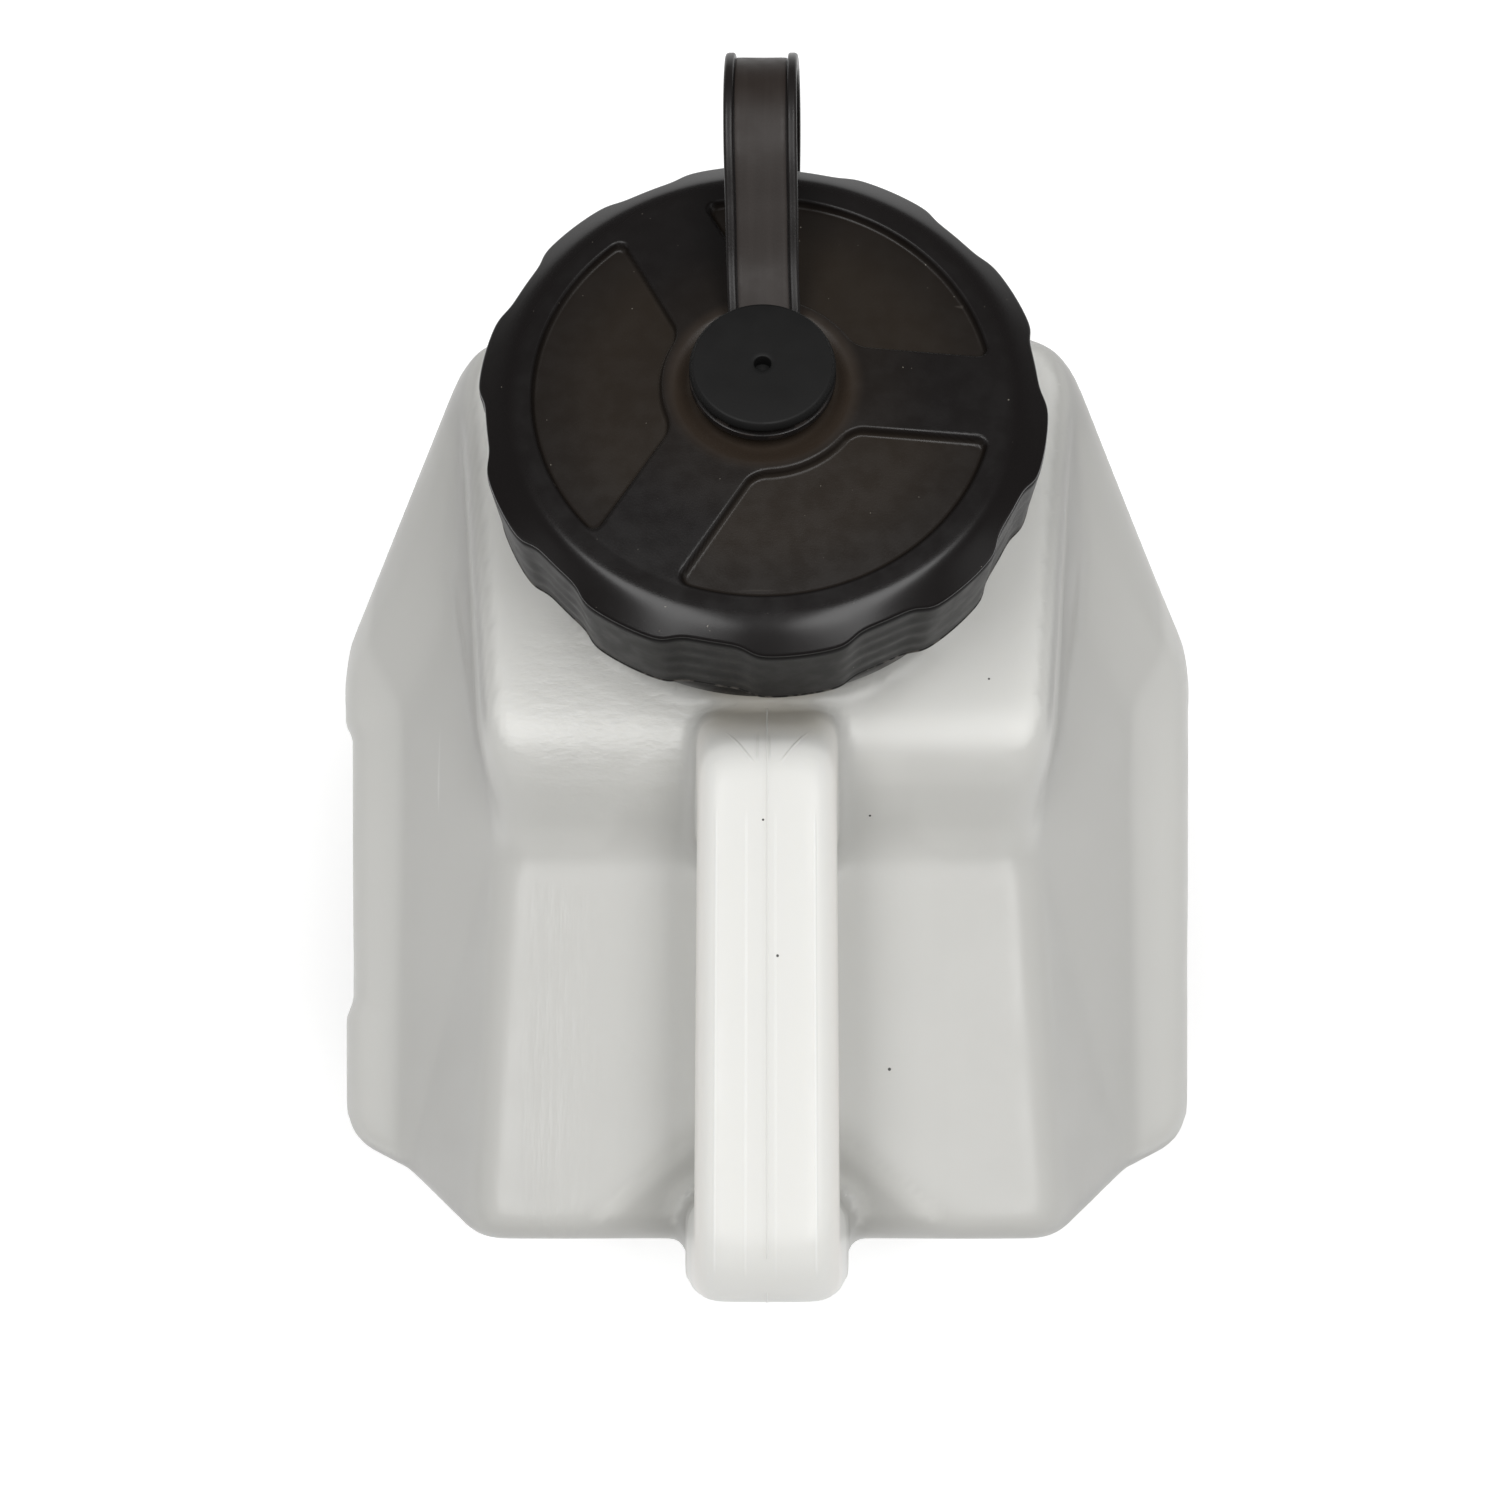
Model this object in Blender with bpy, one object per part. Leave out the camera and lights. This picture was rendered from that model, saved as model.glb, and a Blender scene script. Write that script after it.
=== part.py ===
"""A wide-necked plastic jerrycan with a moulded-in handle and a tethered screw lid.

Lengths below are millimetres; MM turns them into metres. +Z is up, the can
stands on Z = 0, the handle is at the rear (-Y) and the neck at the front (+Y).
"""
import math

import bmesh
import bpy
from mathutils import Matrix, Vector

MM = 0.001
GAP = 0.3                     # clearance kept between touching pieces

# Body, right half. The plan is a rectangle with its four corners cut off.
FRONT_Y = 103.5
BROW = (46.0, 110.0)          # half width and Y where the front wall's middle panel starts
REAR_Y = -104.0
FRONT_HALF = 104.5            # half width at the front end of the side walls
REAR_HALF = 101.0             # half width at the rear end of the side walls
SHOULDER_FRONT_Y = 38.6       # where the front corner chamfer meets the side wall
SHOULDER_REAR_Y = -80.0
LID_PLANE_Z = (262.0, 242.0)  # height of the sloping top at the ridge and at the front
LID_PLANE_HALF = (61.8, 71.0)
RIDGE_Y = 0.3
RECESS_Y = -18.5              # foot of the wall below the ridge
RECESS_HALF = 58.5
RECESS_Z = 242.0
REAR_TOP_HALF = 63.0
REAR_TOP_Z = 241.0
LEDGE_FRONT_Z = 208.0
LEDGE_REAR_Z = 200.0
LEDGE_RISE = 3.9              # the ledge climbs this much from its outer to its inner line
LEDGE_INNER = (88.5, 85.5)    # half width of the ledge's inner line, front and rear
LEDGE_NOTCH = 1.5             # the rear chamfer is nicked by this much at that line
FACET_TOP = ((77.8, 64.7, 232.5), (72.6, 42.4, 228.0))
CREASE_END = (66.4, 7.1, 234.3)
SCOOP_HALF = 44.8             # the rear edge dips beside the handle, starting here
SCOOP_START_Y = -78.0
SCOOP_DROP = 13.0
BASE_INSET = 2.0              # the walls draw in by this much at the floor

# Handle, side view as Y and Z
HANDLE_HALF = 14.4
HANDLE_TOP_Z = 292.0
HANDLE_UNDER_Z = 271.0
HANDLE_FRONT_Y = -5.0         # front end of the level bar
HANDLE_ROOT = (11.5, 257.0)   # foot of the sloping front face, at the neck
HANDLE_REAR_Y = -116.0
GRIP_FRONT_Y = -27.0          # front end of the finger gap, at its top
LEG_INNER_Y = -95.0
FRONT_BEND = 9.0
REAR_BEND = 15.0
GRIP_BEND = 9.0               # radius of the finger gap's upper corners
GRIP_FOOT = (-22.0, 248.0)    # front end of the finger gap, at the recess
HEEL_Z = 240.0                # the rear leg drops straight down to here
LEG_MERGE_Z = 186.0           # and has run into the rear wall here
LEG_FLARE = 3.4               # the leg is this much wider each side at its foot
ROOT_FLARE = 1.6
HANDLE_EDGE = 4.6             # radius along the handle's edges
HANDLE_SUNK = 12.0            # the handle's ends run this deep into the body

# Neck and lid share an axis square to the sloping top
NECK_Y = 57.5
NECK_X = -0.9                 # the neck sits a touch to the left
NECK_RADIUS = 46.8
NECK_FOOT_RADIUS = 48.6
NECK_SUNK = 12.0              # the neck runs this deep into the body
RIM_HEIGHT = 50.0             # lid rim above the sloping top, along the axis
LOBES = 10
LOBE_PHASE = math.radians(7.6)   # a valley lies at this angle from +X
LOBE_RADIUS = 59.4
VALLEY_RADIUS = 57.4
LID_SKIRT = 22.5
SOCKET_CEILING = -7.3         # underside of the lid's top, below the rim plane
LID_CREST = 3.2               # ring between rim and panels, above the rim plane
LID_BROW = ((51.4, 2.9), (53.4, 2.4), (55.2, 1.6))   # radius and height down to the rim's edge
LID_EDGE = -1.8               # height where the top's rounded edge has turned into the skirt
HUB_TOP = 5.5                 # the spokes climb from the crest to the hub's ring
HUB_RADIUS = 20.0
HUB_DISH = 1.1                # the hub is sunk this much inside its ring
CREST_RADIUS = 48.4
PANEL_OUTER = 48.0
PANEL_INNER = 20.4
PANEL_DEPTH = 1.9
PANEL_WALL = 1.1              # how far the panel's walls slope in
PANEL_CORNER = 3.0
SPOKE_WIDTH = 18.8
SPOKE_ANGLES = (-2.5, 117.0, 237.0)

BUTTON_RADIUS = 14.9
BUTTON_TOP = 12.5             # above the lid's rim plane
BUTTON_UNDER = 10.5
VENT_RADIUS = 1.7
VENT_DEPTH = 3.0
STEM_RADIUS = 5.0

EYELET_RADIUS = 15.0
EYELET_HOLE = STEM_RADIUS + GAP
EYELET_Z = (7.1, 9.0)
STRAP_WIDTH = 15.0
STRAP_WEB = 1.7
STRAP_RIB = 2.0               # width of the raised rib along each edge
STRAP_RIB_RISE = 1.0
STRAP_ROUTE = (               # sideways, forward from the lid's axis, above the rim plane
    (0.4, 4.0, 8.0), (0.4, 9.0, 8.0), (0.3, 14.5, 8.1), (0.0, 23.0, 11.4), (-0.2, 33.0, 18.8),
    (-0.5, 44.0, 26.8), (-0.5, 55.0, 29.8), (-0.2, 65.2, 25.4), (0.4, 70.8, 14.0),
    (0.8, 71.0, 0.0), (0.9, 68.0, -14.0), (0.7, 62.5, -25.0), (0.5, 52.0, -32.0),
)
COLLAR_RADII = (NECK_RADIUS + GAP, 52.8)
COLLAR_Z = (-35.0, -30.0)
COLLAR_CHAMFER = 0.8
EYELET_CHAMFER = 0.4
CUT_MARGIN = 4.0              # a cutter runs this far past what it cuts
WIDE_STEPS = 72               # steps round the neck and the collar
NARROW_STEPS = 48             # steps round the button and the eyelet


def remove_everything():
    for thing in list(bpy.data.objects):
        bpy.data.objects.remove(thing, do_unlink=True)


def plastic(name, colour, roughness):
    material = bpy.data.materials.new(name)
    material.use_nodes = True
    shader = material.node_tree.nodes["Principled BSDF"]
    shader.inputs["Base Color"].default_value = (*colour, 1.0)
    shader.inputs["Roughness"].default_value = roughness
    shader.inputs["Metallic"].default_value = 0.0
    return material


def object_from_mesh(name, bm, matrix=Matrix.Identity(4)):
    """Close the bmesh into an object; coordinates come in as millimetres."""
    bmesh.ops.recalc_face_normals(bm, faces=bm.faces)
    bmesh.ops.transform(bm, matrix=Matrix.Scale(MM, 4), verts=bm.verts)
    mesh = bpy.data.meshes.new(name)
    bm.to_mesh(mesh)
    bm.free()
    mesh.shade_smooth()
    mesh.set_sharp_from_angle(angle=math.radians(35))
    thing = bpy.data.objects.new(name, mesh)
    bpy.context.scene.collection.objects.link(thing)
    thing.matrix_world = matrix
    return thing


def arc(centre, radius, start, end, steps):
    """Points on an arc, angles in degrees."""
    points = []
    for i in range(steps + 1):
        angle = math.radians(start + (end - start) * i / steps)
        points.append((centre[0] + radius * math.cos(angle),
                       centre[1] + radius * math.sin(angle)))
    return points


def smooth_route(points, steps):
    """A Catmull-Rom curve through the points, with steps stretches between each two."""
    knots = [Vector(p) for p in points]
    knots = [2 * knots[0] - knots[1]] + knots + [2 * knots[-1] - knots[-2]]
    route = []
    for a, b, c, d in zip(knots, knots[1:], knots[2:], knots[3:]):
        for i in range(steps):
            t = i / steps
            route.append(0.5 * (2 * b + (c - a) * t + (2 * a - 5 * b + 4 * c - d) * t ** 2
                                + (3 * b - a - 3 * c + d) * t ** 3))
    route.append(knots[-2])
    return route


def loft(bm, rings):
    """Skin a list of rings of equal length and return the vertices of each ring."""
    loops = [[bm.verts.new(p) for p in ring] for ring in rings]
    for lower, upper in zip(loops, loops[1:]):
        bridge(bm, lower, upper)
    return loops


def bridge(bm, lower, upper):
    count = len(lower)
    for i in range(count):
        j = (i + 1) % count
        bm.faces.new((lower[i], lower[j], upper[j], upper[i]))


def cap(bm, loop, tip=None):
    """Close a ring with one face, or with a fan of triangles to a tip."""
    if tip is None:
        bm.faces.new(loop)
        return
    pole = bm.verts.new(tip)
    for i, vert in enumerate(loop):
        bm.faces.new((vert, loop[(i + 1) % len(loop)], pole))


def turned(profile, steps, radius_at=None):
    """Turn a profile of (radius, height) about Z.

    A profile that starts and ends on the axis closes at its two poles, and any
    other is a ring. radius_at(radius, height, angle) may push a point in or out.
    """
    bm = bmesh.new()
    ring_shaped = profile[0][0] > 0
    rings = []
    for radius, height in profile if ring_shaped else profile[1:-1]:
        ring = []
        for i in range(steps):
            angle = 2 * math.pi * i / steps
            reach = radius_at(radius, height, angle) if radius_at else radius
            ring.append((reach * math.cos(angle), reach * math.sin(angle), height))
        rings.append(ring)
    loops = loft(bm, rings)
    if ring_shaped:
        bridge(bm, loops[-1], loops[0])
    else:
        cap(bm, loops[0], (0, 0, profile[0][1]))
        cap(bm, loops[-1], (0, 0, profile[-1][1]))
    return bm


def boolean(target, others, operation):
    """Join or cut the target with the others, apply it, and drop the others."""
    tools = bpy.data.collections.new("tools")
    bpy.context.scene.collection.children.link(tools)
    for other in others:
        tools.objects.link(other)
    modifier = target.modifiers.new("boolean", "BOOLEAN")
    modifier.operation = operation
    modifier.operand_type = "COLLECTION"
    modifier.collection = tools
    modifier.solver = "EXACT"
    depsgraph = bpy.context.evaluated_depsgraph_get()
    result = bpy.data.meshes.new_from_object(target.evaluated_get(depsgraph))
    target.modifiers.clear()
    target.data = result
    for other in others:
        bpy.data.objects.remove(other, do_unlink=True)
    bpy.data.collections.remove(tools)


def lid_plane_height(y):
    """Height of the sloping top at a place along Y."""
    fall = LID_PLANE_Z[0] - LID_PLANE_Z[1]
    return LID_PLANE_Z[0] - fall * (y - RIDGE_Y) / (FRONT_Y - RIDGE_Y)


def ledge_rear():
    """The ledge's inner rear corner, just inside the plan line of the rear chamfer."""
    half = LEDGE_INNER[1]
    share = (REAR_HALF - half) / (REAR_HALF - REAR_TOP_HALF)
    y = SHOULDER_REAR_Y + (REAR_Y - SHOULDER_REAR_Y) * share + LEDGE_NOTCH
    return (half, y, LEDGE_REAR_Z + LEDGE_RISE)


def body_corners():
    """Named corners of the body's right half."""
    corners = {
        "front": (LID_PLANE_HALF[1], FRONT_Y, LID_PLANE_Z[1]),
        "ridge": (LID_PLANE_HALF[0], RIDGE_Y, LID_PLANE_Z[0]),
        "recess": (RECESS_HALF, RECESS_Y, RECESS_Z),
        "brow": (*BROW, lid_plane_height(BROW[1])),
        "rear": (REAR_TOP_HALF, REAR_Y, REAR_TOP_Z),
        "scoop_end": (SCOOP_HALF, REAR_Y, REAR_TOP_Z),
        "scoop_top": (HANDLE_HALF - 2, SCOOP_START_Y, REAR_TOP_Z + 0.3),
        "scoop_foot": (HANDLE_HALF - 2, REAR_Y, REAR_TOP_Z - SCOOP_DROP),
        "facet_front": FACET_TOP[0],
        "facet_inner": FACET_TOP[1],
        "crease": CREASE_END,
        "shoulder": (FRONT_HALF, SHOULDER_FRONT_Y, LEDGE_FRONT_Z - 6.7),
        "ledge_front": (FRONT_HALF - 0.4, 29.0, LEDGE_FRONT_Z),
        "ledge_inner": (LEDGE_INNER[0], 16.6, LEDGE_FRONT_Z + LEDGE_RISE),
        "ledge_corner": (REAR_HALF, SHOULDER_REAR_Y, LEDGE_REAR_Z),
        "ledge_rear": ledge_rear(),
        "floor_brow": (BROW[0] - BASE_INSET, BROW[1] - BASE_INSET, 0.0),
        "floor_front": (LID_PLANE_HALF[1] - BASE_INSET, FRONT_Y - BASE_INSET, 0.0),
        "floor_shoulder": (FRONT_HALF - BASE_INSET, SHOULDER_FRONT_Y, 0.0),
        "floor_corner": (REAR_HALF - BASE_INSET, SHOULDER_REAR_Y, 0.0),
        "floor_rear": (REAR_TOP_HALF - BASE_INSET, REAR_Y + BASE_INSET, 0.0),
    }
    return corners


CROSSING_FACES = (            # faces that run across the middle plane
    ("brow", "front", "ridge"),
    ("ridge", "recess"),
    ("recess", "rear", "scoop_end", "scoop_top"),
    ("scoop_top", "scoop_foot"),
    ("scoop_foot", "scoop_end", "rear", "floor_rear"),
    ("brow", "floor_brow"),
    ("floor_brow", "floor_front", "floor_shoulder", "floor_corner", "floor_rear"),
)
SIDE_FACES = (                # faces that each side has its own copy of
    ("front", "facet_front", "facet_inner", "crease", "ridge"),
    ("ridge", "crease", "recess"),
    ("crease", "facet_inner", "ledge_inner", "recess"),
    ("recess", "ledge_inner", "ledge_rear", "rear"),
    ("facet_front", "ledge_front", "ledge_inner", "facet_inner"),
    ("front", "shoulder", "ledge_front", "facet_front"),
    ("ledge_front", "ledge_corner", "ledge_rear", "ledge_inner"),
    ("shoulder", "floor_shoulder", "floor_corner", "ledge_corner", "ledge_front"),
    ("brow", "floor_brow", "floor_front", "front"),
    ("front", "floor_front", "floor_shoulder", "shoulder"),
    ("ledge_corner", "floor_corner", "floor_rear", "rear", "ledge_rear"),
    ("scoop_top", "scoop_end", "scoop_foot"),
)
EDGE_SOFTNESS = {             # distance that each moulded edge is rounded back
    ("ridge", "ridge"): 9.0,
    ("recess", "recess"): 6.0,
    ("ridge", "recess"): 6.0,
    ("front", "ridge"): 4.5,
    ("front", "brow"): 4.0,
    ("brow", "brow"): 4.0,
    ("brow", "floor_brow"): 8.0,
    ("recess", "rear"): 4.0,
    ("rear", "scoop_end"): 4.5,
    ("scoop_end", "scoop_foot"): 3.5,
    ("scoop_foot", "scoop_foot"): 3.0,
    ("scoop_end", "scoop_top"): 3.0,
    ("ridge", "crease"): 5.0,
    ("crease", "recess"): 4.5,
    ("crease", "facet_inner"): 3.0,
    ("facet_front", "facet_inner"): 2.5,
    ("front", "facet_front"): 2.5,
    ("facet_front", "ledge_front"): 4.0,
    ("facet_inner", "ledge_inner"): 3.5,
    ("ledge_inner", "ledge_front"): 3.5,
    ("ledge_inner", "ledge_rear"): 5.0,
    ("ledge_front", "ledge_corner"): 5.0,
    ("ledge_corner", "ledge_rear"): 4.5,
    ("ledge_rear", "rear"): 3.2,
    ("front", "shoulder"): 5.0,
    ("shoulder", "ledge_front"): 5.0,
    ("front", "floor_front"): 6.0,
    ("shoulder", "floor_shoulder"): 7.0,
    ("ledge_corner", "floor_corner"): 6.0,
    ("rear", "floor_rear"): 3.2,
    ("floor_brow", "floor_brow"): 7.0,
    ("floor_brow", "floor_front"): 7.0,
    ("floor_front", "floor_shoulder"): 7.0,
    ("floor_shoulder", "floor_corner"): 7.0,
    ("floor_corner", "floor_rear"): 7.0,
    ("floor_rear", "floor_rear"): 7.0,
}


def body_shell():
    """The can without neck and handle: a cage of flat panels with rounded edges."""
    bm = bmesh.new()
    verts = {}
    for name, (x, y, z) in body_corners().items():
        verts[name, 1] = bm.verts.new((x, y, z))
        verts[name, -1] = bm.verts.new((-x, y, z))
    for names in CROSSING_FACES:
        right = [verts[name, 1] for name in names]
        left = [verts[name, -1] for name in reversed(names)]
        bm.faces.new(right + left)
    for names in SIDE_FACES:
        for side in (1, -1):
            bm.faces.new([verts[name, side] for name in names])
    bmesh.ops.recalc_face_normals(bm, faces=bm.faces)
    softest = max(EDGE_SOFTNESS.values())
    weight = bm.edges.layers.float.new("bevel_weight_edge")
    for (first, second), softness in EDGE_SOFTNESS.items():
        for side in (1, -1):
            other = -side if first == second else side
            edge = bm.edges.get((verts[first, side], verts[second, other]))
            edge[weight] = softness / softest
    shell = object_from_mesh("jerrycan_body", bm)
    rounding = shell.modifiers.new("rounding", "BEVEL")
    rounding.limit_method = "WEIGHT"
    rounding.width = softest * MM
    rounding.segments = 3
    return shell


def rounded_corner(before, corner, after, radius, steps):
    """Points on the arc that rounds the corner between two straight runs."""
    corner = Vector(corner)
    back = (Vector(before) - corner).normalized()
    ahead = (Vector(after) - corner).normalized()
    half_angle = back.angle(ahead) / 2
    centre = corner + (back + ahead).normalized() * radius / math.sin(half_angle)
    reach = radius / math.tan(half_angle)
    first = corner + back * reach - centre
    sweep = first.angle_signed(corner + ahead * reach - centre)
    start = math.degrees(math.atan2(first.y, first.x))
    return arc(centre, radius, start, start - math.degrees(sweep), steps)


def handle_stations():
    """Pairs of outer and inner points (Y, Z) along the handle, front root to rear foot."""
    outer_front = (HANDLE_FRONT_Y, HANDLE_TOP_Z)
    outer_rear = (HANDLE_REAR_Y, HANDLE_TOP_Z)
    inner_front = (GRIP_FRONT_Y, HANDLE_UNDER_Z)
    inner_rear = (LEG_INNER_Y, HANDLE_UNDER_Z)
    outer_heel = (HANDLE_REAR_Y, HEEL_Z)
    inner_heel = (LEG_INNER_Y, HEEL_Z)
    outer = [(HANDLE_ROOT[0] + 4, HANDLE_ROOT[1] - HANDLE_SUNK), HANDLE_ROOT]
    outer += rounded_corner(HANDLE_ROOT, outer_front, outer_rear, FRONT_BEND, 5)
    outer += rounded_corner(outer_front, outer_rear, outer_heel, REAR_BEND, 6)
    inner = [(GRIP_FOOT[0] + 4, GRIP_FOOT[1] - HANDLE_SUNK), GRIP_FOOT]
    inner += rounded_corner(GRIP_FOOT, inner_front, inner_rear, GRIP_BEND, 5)
    inner += rounded_corner(inner_front, inner_rear, inner_heel, GRIP_BEND, 6)
    for share in (0.0, 0.2, 0.4, 0.6, 0.8, 1.0):
        z = HEEL_Z + (LEG_MERGE_Z - HEEL_Z) * share
        ease = share * share * (3 - 2 * share)
        outer.append((HANDLE_REAR_Y + (REAR_Y + 3 - HANDLE_REAR_Y) * ease, z))
        inner.append((LEG_INNER_Y + HANDLE_SUNK * share, z))
    return list(zip(outer, inner))


def handle_half_width(y, z):
    """Half width of the handle, wider towards its front root and its rear foot."""
    flare, start, full = ROOT_FLARE, HANDLE_UNDER_Z, HANDLE_UNDER_Z - 16
    if y < LEG_INNER_Y:
        flare, start, full = LEG_FLARE, HANDLE_UNDER_Z + 6, HEEL_Z
    share = min(1.0, max(0.0, (start - z) / (start - full)))
    return HANDLE_HALF + flare * share


def handle():
    """A rounded bar lofted between the handle's outer and inner outlines."""
    bm = bmesh.new()
    rings = []
    for (outer_y, outer_z), (inner_y, inner_z) in handle_stations():
        across = Vector((outer_y - inner_y, outer_z - inner_z))
        half_thick = across.length / 2
        middle = Vector((outer_y + inner_y, outer_z + inner_z)) / 2
        across.normalize()
        half_wide = handle_half_width((outer_y + inner_y) / 2, (outer_z + inner_z) / 2)
        ring = []
        for sign_x, sign_t, start in ((1, 1, 0), (-1, 1, 90), (-1, -1, 180), (1, -1, 270)):
            centre = (sign_x * (half_wide - HANDLE_EDGE), sign_t * (half_thick - HANDLE_EDGE))
            for x, t in arc(centre, HANDLE_EDGE, start, start + 90, 3):
                place = middle + across * t
                ring.append((x, place.x, place.y))
        rings.append(ring)
    loops = loft(bm, rings)
    cap(bm, loops[0])
    cap(bm, loops[-1])
    return object_from_mesh("handle", bm)


def lid_frame():
    """Matrix of the lid: origin on its axis in the rim plane, Z along the axis."""
    tilt = math.atan2(LID_PLANE_Z[0] - LID_PLANE_Z[1], FRONT_Y - RIDGE_Y)
    foot = Matrix.Translation(Vector((NECK_X, NECK_Y, lid_plane_height(NECK_Y))) * MM)
    return foot @ Matrix.Rotation(-tilt, 4, "X") @ Matrix.Translation((0, 0, RIM_HEIGHT * MM))


def neck():
    """The neck, a plain turned stub with a flared foot, sunk into the body."""
    foot = -RIM_HEIGHT
    top = SOCKET_CEILING - GAP
    profile = [(0, foot - NECK_SUNK), (NECK_FOOT_RADIUS, foot - NECK_SUNK),
               (NECK_FOOT_RADIUS, foot + 0.6), (NECK_FOOT_RADIUS - 1.2, foot + 1.6),
               (NECK_RADIUS, foot + 4.0), (NECK_RADIUS, top - 1.4), (NECK_RADIUS - 2, top),
               (0, top)]
    return object_from_mesh("neck", turned(profile, WIDE_STEPS), lid_frame())


def build_body():
    body = body_shell()
    boolean(body, [handle(), neck()], "UNION")
    body.data.materials.clear()
    body.data.materials.append(plastic("milky_white", (0.78, 0.78, 0.75), 0.38))


def lobed(radius, _height, angle):
    """Push the lid's rim and skirt in at each valley between two lobes."""
    wave = math.cos(LOBES * (angle - LOBE_PHASE))
    dip = 1 / (1 + math.exp(-5.0 * (wave - 0.25)))
    full = LOBE_RADIUS - VALLEY_RADIUS
    share = min(1.0, max(0.0, (radius - CREST_RADIUS) / 8))
    return radius - full * dip * share


def spoke_height(radius):
    """Height of the lid's top, which falls evenly from the hub's ring to the crest."""
    share = (radius - HUB_RADIUS) / (CREST_RADIUS - HUB_RADIUS)
    return HUB_TOP + (LID_CREST - HUB_TOP) * min(1.0, max(0.0, share))


def lid_profile():
    """Half section of the lid, from the top centre over the rim to the socket's ceiling."""
    dish = HUB_TOP - HUB_DISH
    top = [(0, dish), (HUB_RADIUS - 4.5, dish), (HUB_RADIUS - 1.4, HUB_TOP - 0.2),
           (HUB_RADIUS, HUB_TOP), (HUB_RADIUS + 4, spoke_height(HUB_RADIUS + 4)),
           (CREST_RADIUS - 3, spoke_height(CREST_RADIUS - 3)), (CREST_RADIUS, LID_CREST),
           *LID_BROW, (LOBE_RADIUS - 0.6, LID_EDGE + 1.4), (LOBE_RADIUS - 0.2, LID_EDGE + 0.9)]
    skirt = [(LOBE_RADIUS, LID_EDGE), (LOBE_RADIUS - 0.4, -LID_SKIRT / 2),
             (LOBE_RADIUS - 1.2, -LID_SKIRT + 1.4), (LOBE_RADIUS - 2.4, -LID_SKIRT)]
    socket = NECK_RADIUS + 0.5
    inside = [(socket + 1.4, -LID_SKIRT), (socket, -LID_SKIRT + 1.4), (socket, SOCKET_CEILING),
              (0, SOCKET_CEILING)]
    return top + skirt + inside


def panel_outline(start, end, inset):
    """A sector between two spokes with rounded corners: its outer, then its inner half.

    Both halves have the same number of points, and point i of the outer half
    lies opposite point i from the end of the inner half.
    """
    inner_mid = PANEL_INNER + inset + PANEL_CORNER
    outer_mid = PANEL_OUTER - inset - PANEL_CORNER
    reach = SPOKE_WIDTH / 2 + inset + PANEL_CORNER
    lean = math.degrees(math.asin(reach / outer_mid))
    first, last = start + lean, end - lean
    outer = arc(polar(outer_mid, first), PANEL_CORNER, start - 90, first, 3)
    outer += arc((0, 0), PANEL_OUTER - inset, first, last, 20)[1:-1]
    outer += arc(polar(outer_mid, last), PANEL_CORNER, last, end + 90, 3)
    lean = math.degrees(math.asin(reach / inner_mid))
    first, last = end - lean, start + lean
    inner = arc(polar(inner_mid, first), PANEL_CORNER, end + 90, first + 180, 3)
    inner += arc((0, 0), PANEL_INNER + inset, first, last, 20)[1:-1]
    inner += arc(polar(inner_mid, last), PANEL_CORNER, last + 180, start + 270, 3)
    return outer + inner


def panel_cutter(start, end, index):
    """A sector with sloped walls that sinks one panel of the lid below its spokes."""
    rings = []
    for inset, lift in ((PANEL_WALL, -PANEL_DEPTH), (0.0, 0.3), (0.0, 3.0)):
        ring = []
        for x, y in panel_outline(start, end, inset):
            ring.append((x, y, spoke_height(math.hypot(x, y)) + lift))
        rings.append(ring)
    bm = bmesh.new()
    floor, _, top = loft(bm, rings)
    cap(bm, top)
    for i in range(len(floor) // 2 - 1):
        bm.faces.new((floor[i], floor[i + 1], floor[-i - 2], floor[-i - 1]))
    return object_from_mesh("panel_cutter_%d" % index, bm, lid_frame())


def polar(radius, angle):
    """The point at an angle in degrees."""
    turn = math.radians(angle)
    return (radius * math.cos(turn), radius * math.sin(turn))


def build_lid():
    lid = object_from_mesh("lid", turned(lid_profile(), LOBES * 12, lobed), lid_frame())
    cutters = []
    for index, spoke in enumerate(SPOKE_ANGLES):
        cutters.append(panel_cutter(spoke, spoke + 120, index))
    boolean(lid, cutters, "DIFFERENCE")
    lid.data.materials.clear()
    lid.data.materials.append(plastic("brown_black", (0.018, 0.015, 0.013), 0.42))


def strap():
    """The strap: a flat web with a rib along each edge, swept along its route."""
    half = STRAP_WIDTH / 2
    web = STRAP_WEB / 2
    rib = web + STRAP_RIB_RISE
    inner = half - STRAP_RIB
    section = [(half, -web), (half, rib), (inner, rib), (inner, web), (-inner, web),
               (-inner, rib), (-half, rib), (-half, -web)]
    route = smooth_route(STRAP_ROUTE, 4)
    rings = []
    for i, place in enumerate(route):
        before = route[max(i - 1, 0)]
        after = route[min(i + 1, len(route) - 1)]
        along = (after - before).normalized()
        out = Vector((1, 0, 0)).cross(along)
        side = along.cross(out)
        rings.append([place + side * x + out * t for x, t in section])
    bm = bmesh.new()
    loops = loft(bm, rings)
    cap(bm, loops[0])
    cap(bm, loops[-1])
    return object_from_mesh("strap", bm, lid_frame())


def ring_profile(inner, outer, low, high, chamfer):
    return [(inner, low), (outer - chamfer, low), (outer, low + chamfer),
            (outer, high - chamfer), (outer - chamfer, high), (inner, high)]


def punch(name, radius, span, steps):
    """A cylinder that cuts a round hole through a height span."""
    below, above = span[0] - CUT_MARGIN, span[1] + CUT_MARGIN
    profile = [(0, below), (radius, below), (radius, above), (0, above)]
    return object_from_mesh(name, turned(profile, steps), lid_frame())


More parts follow.
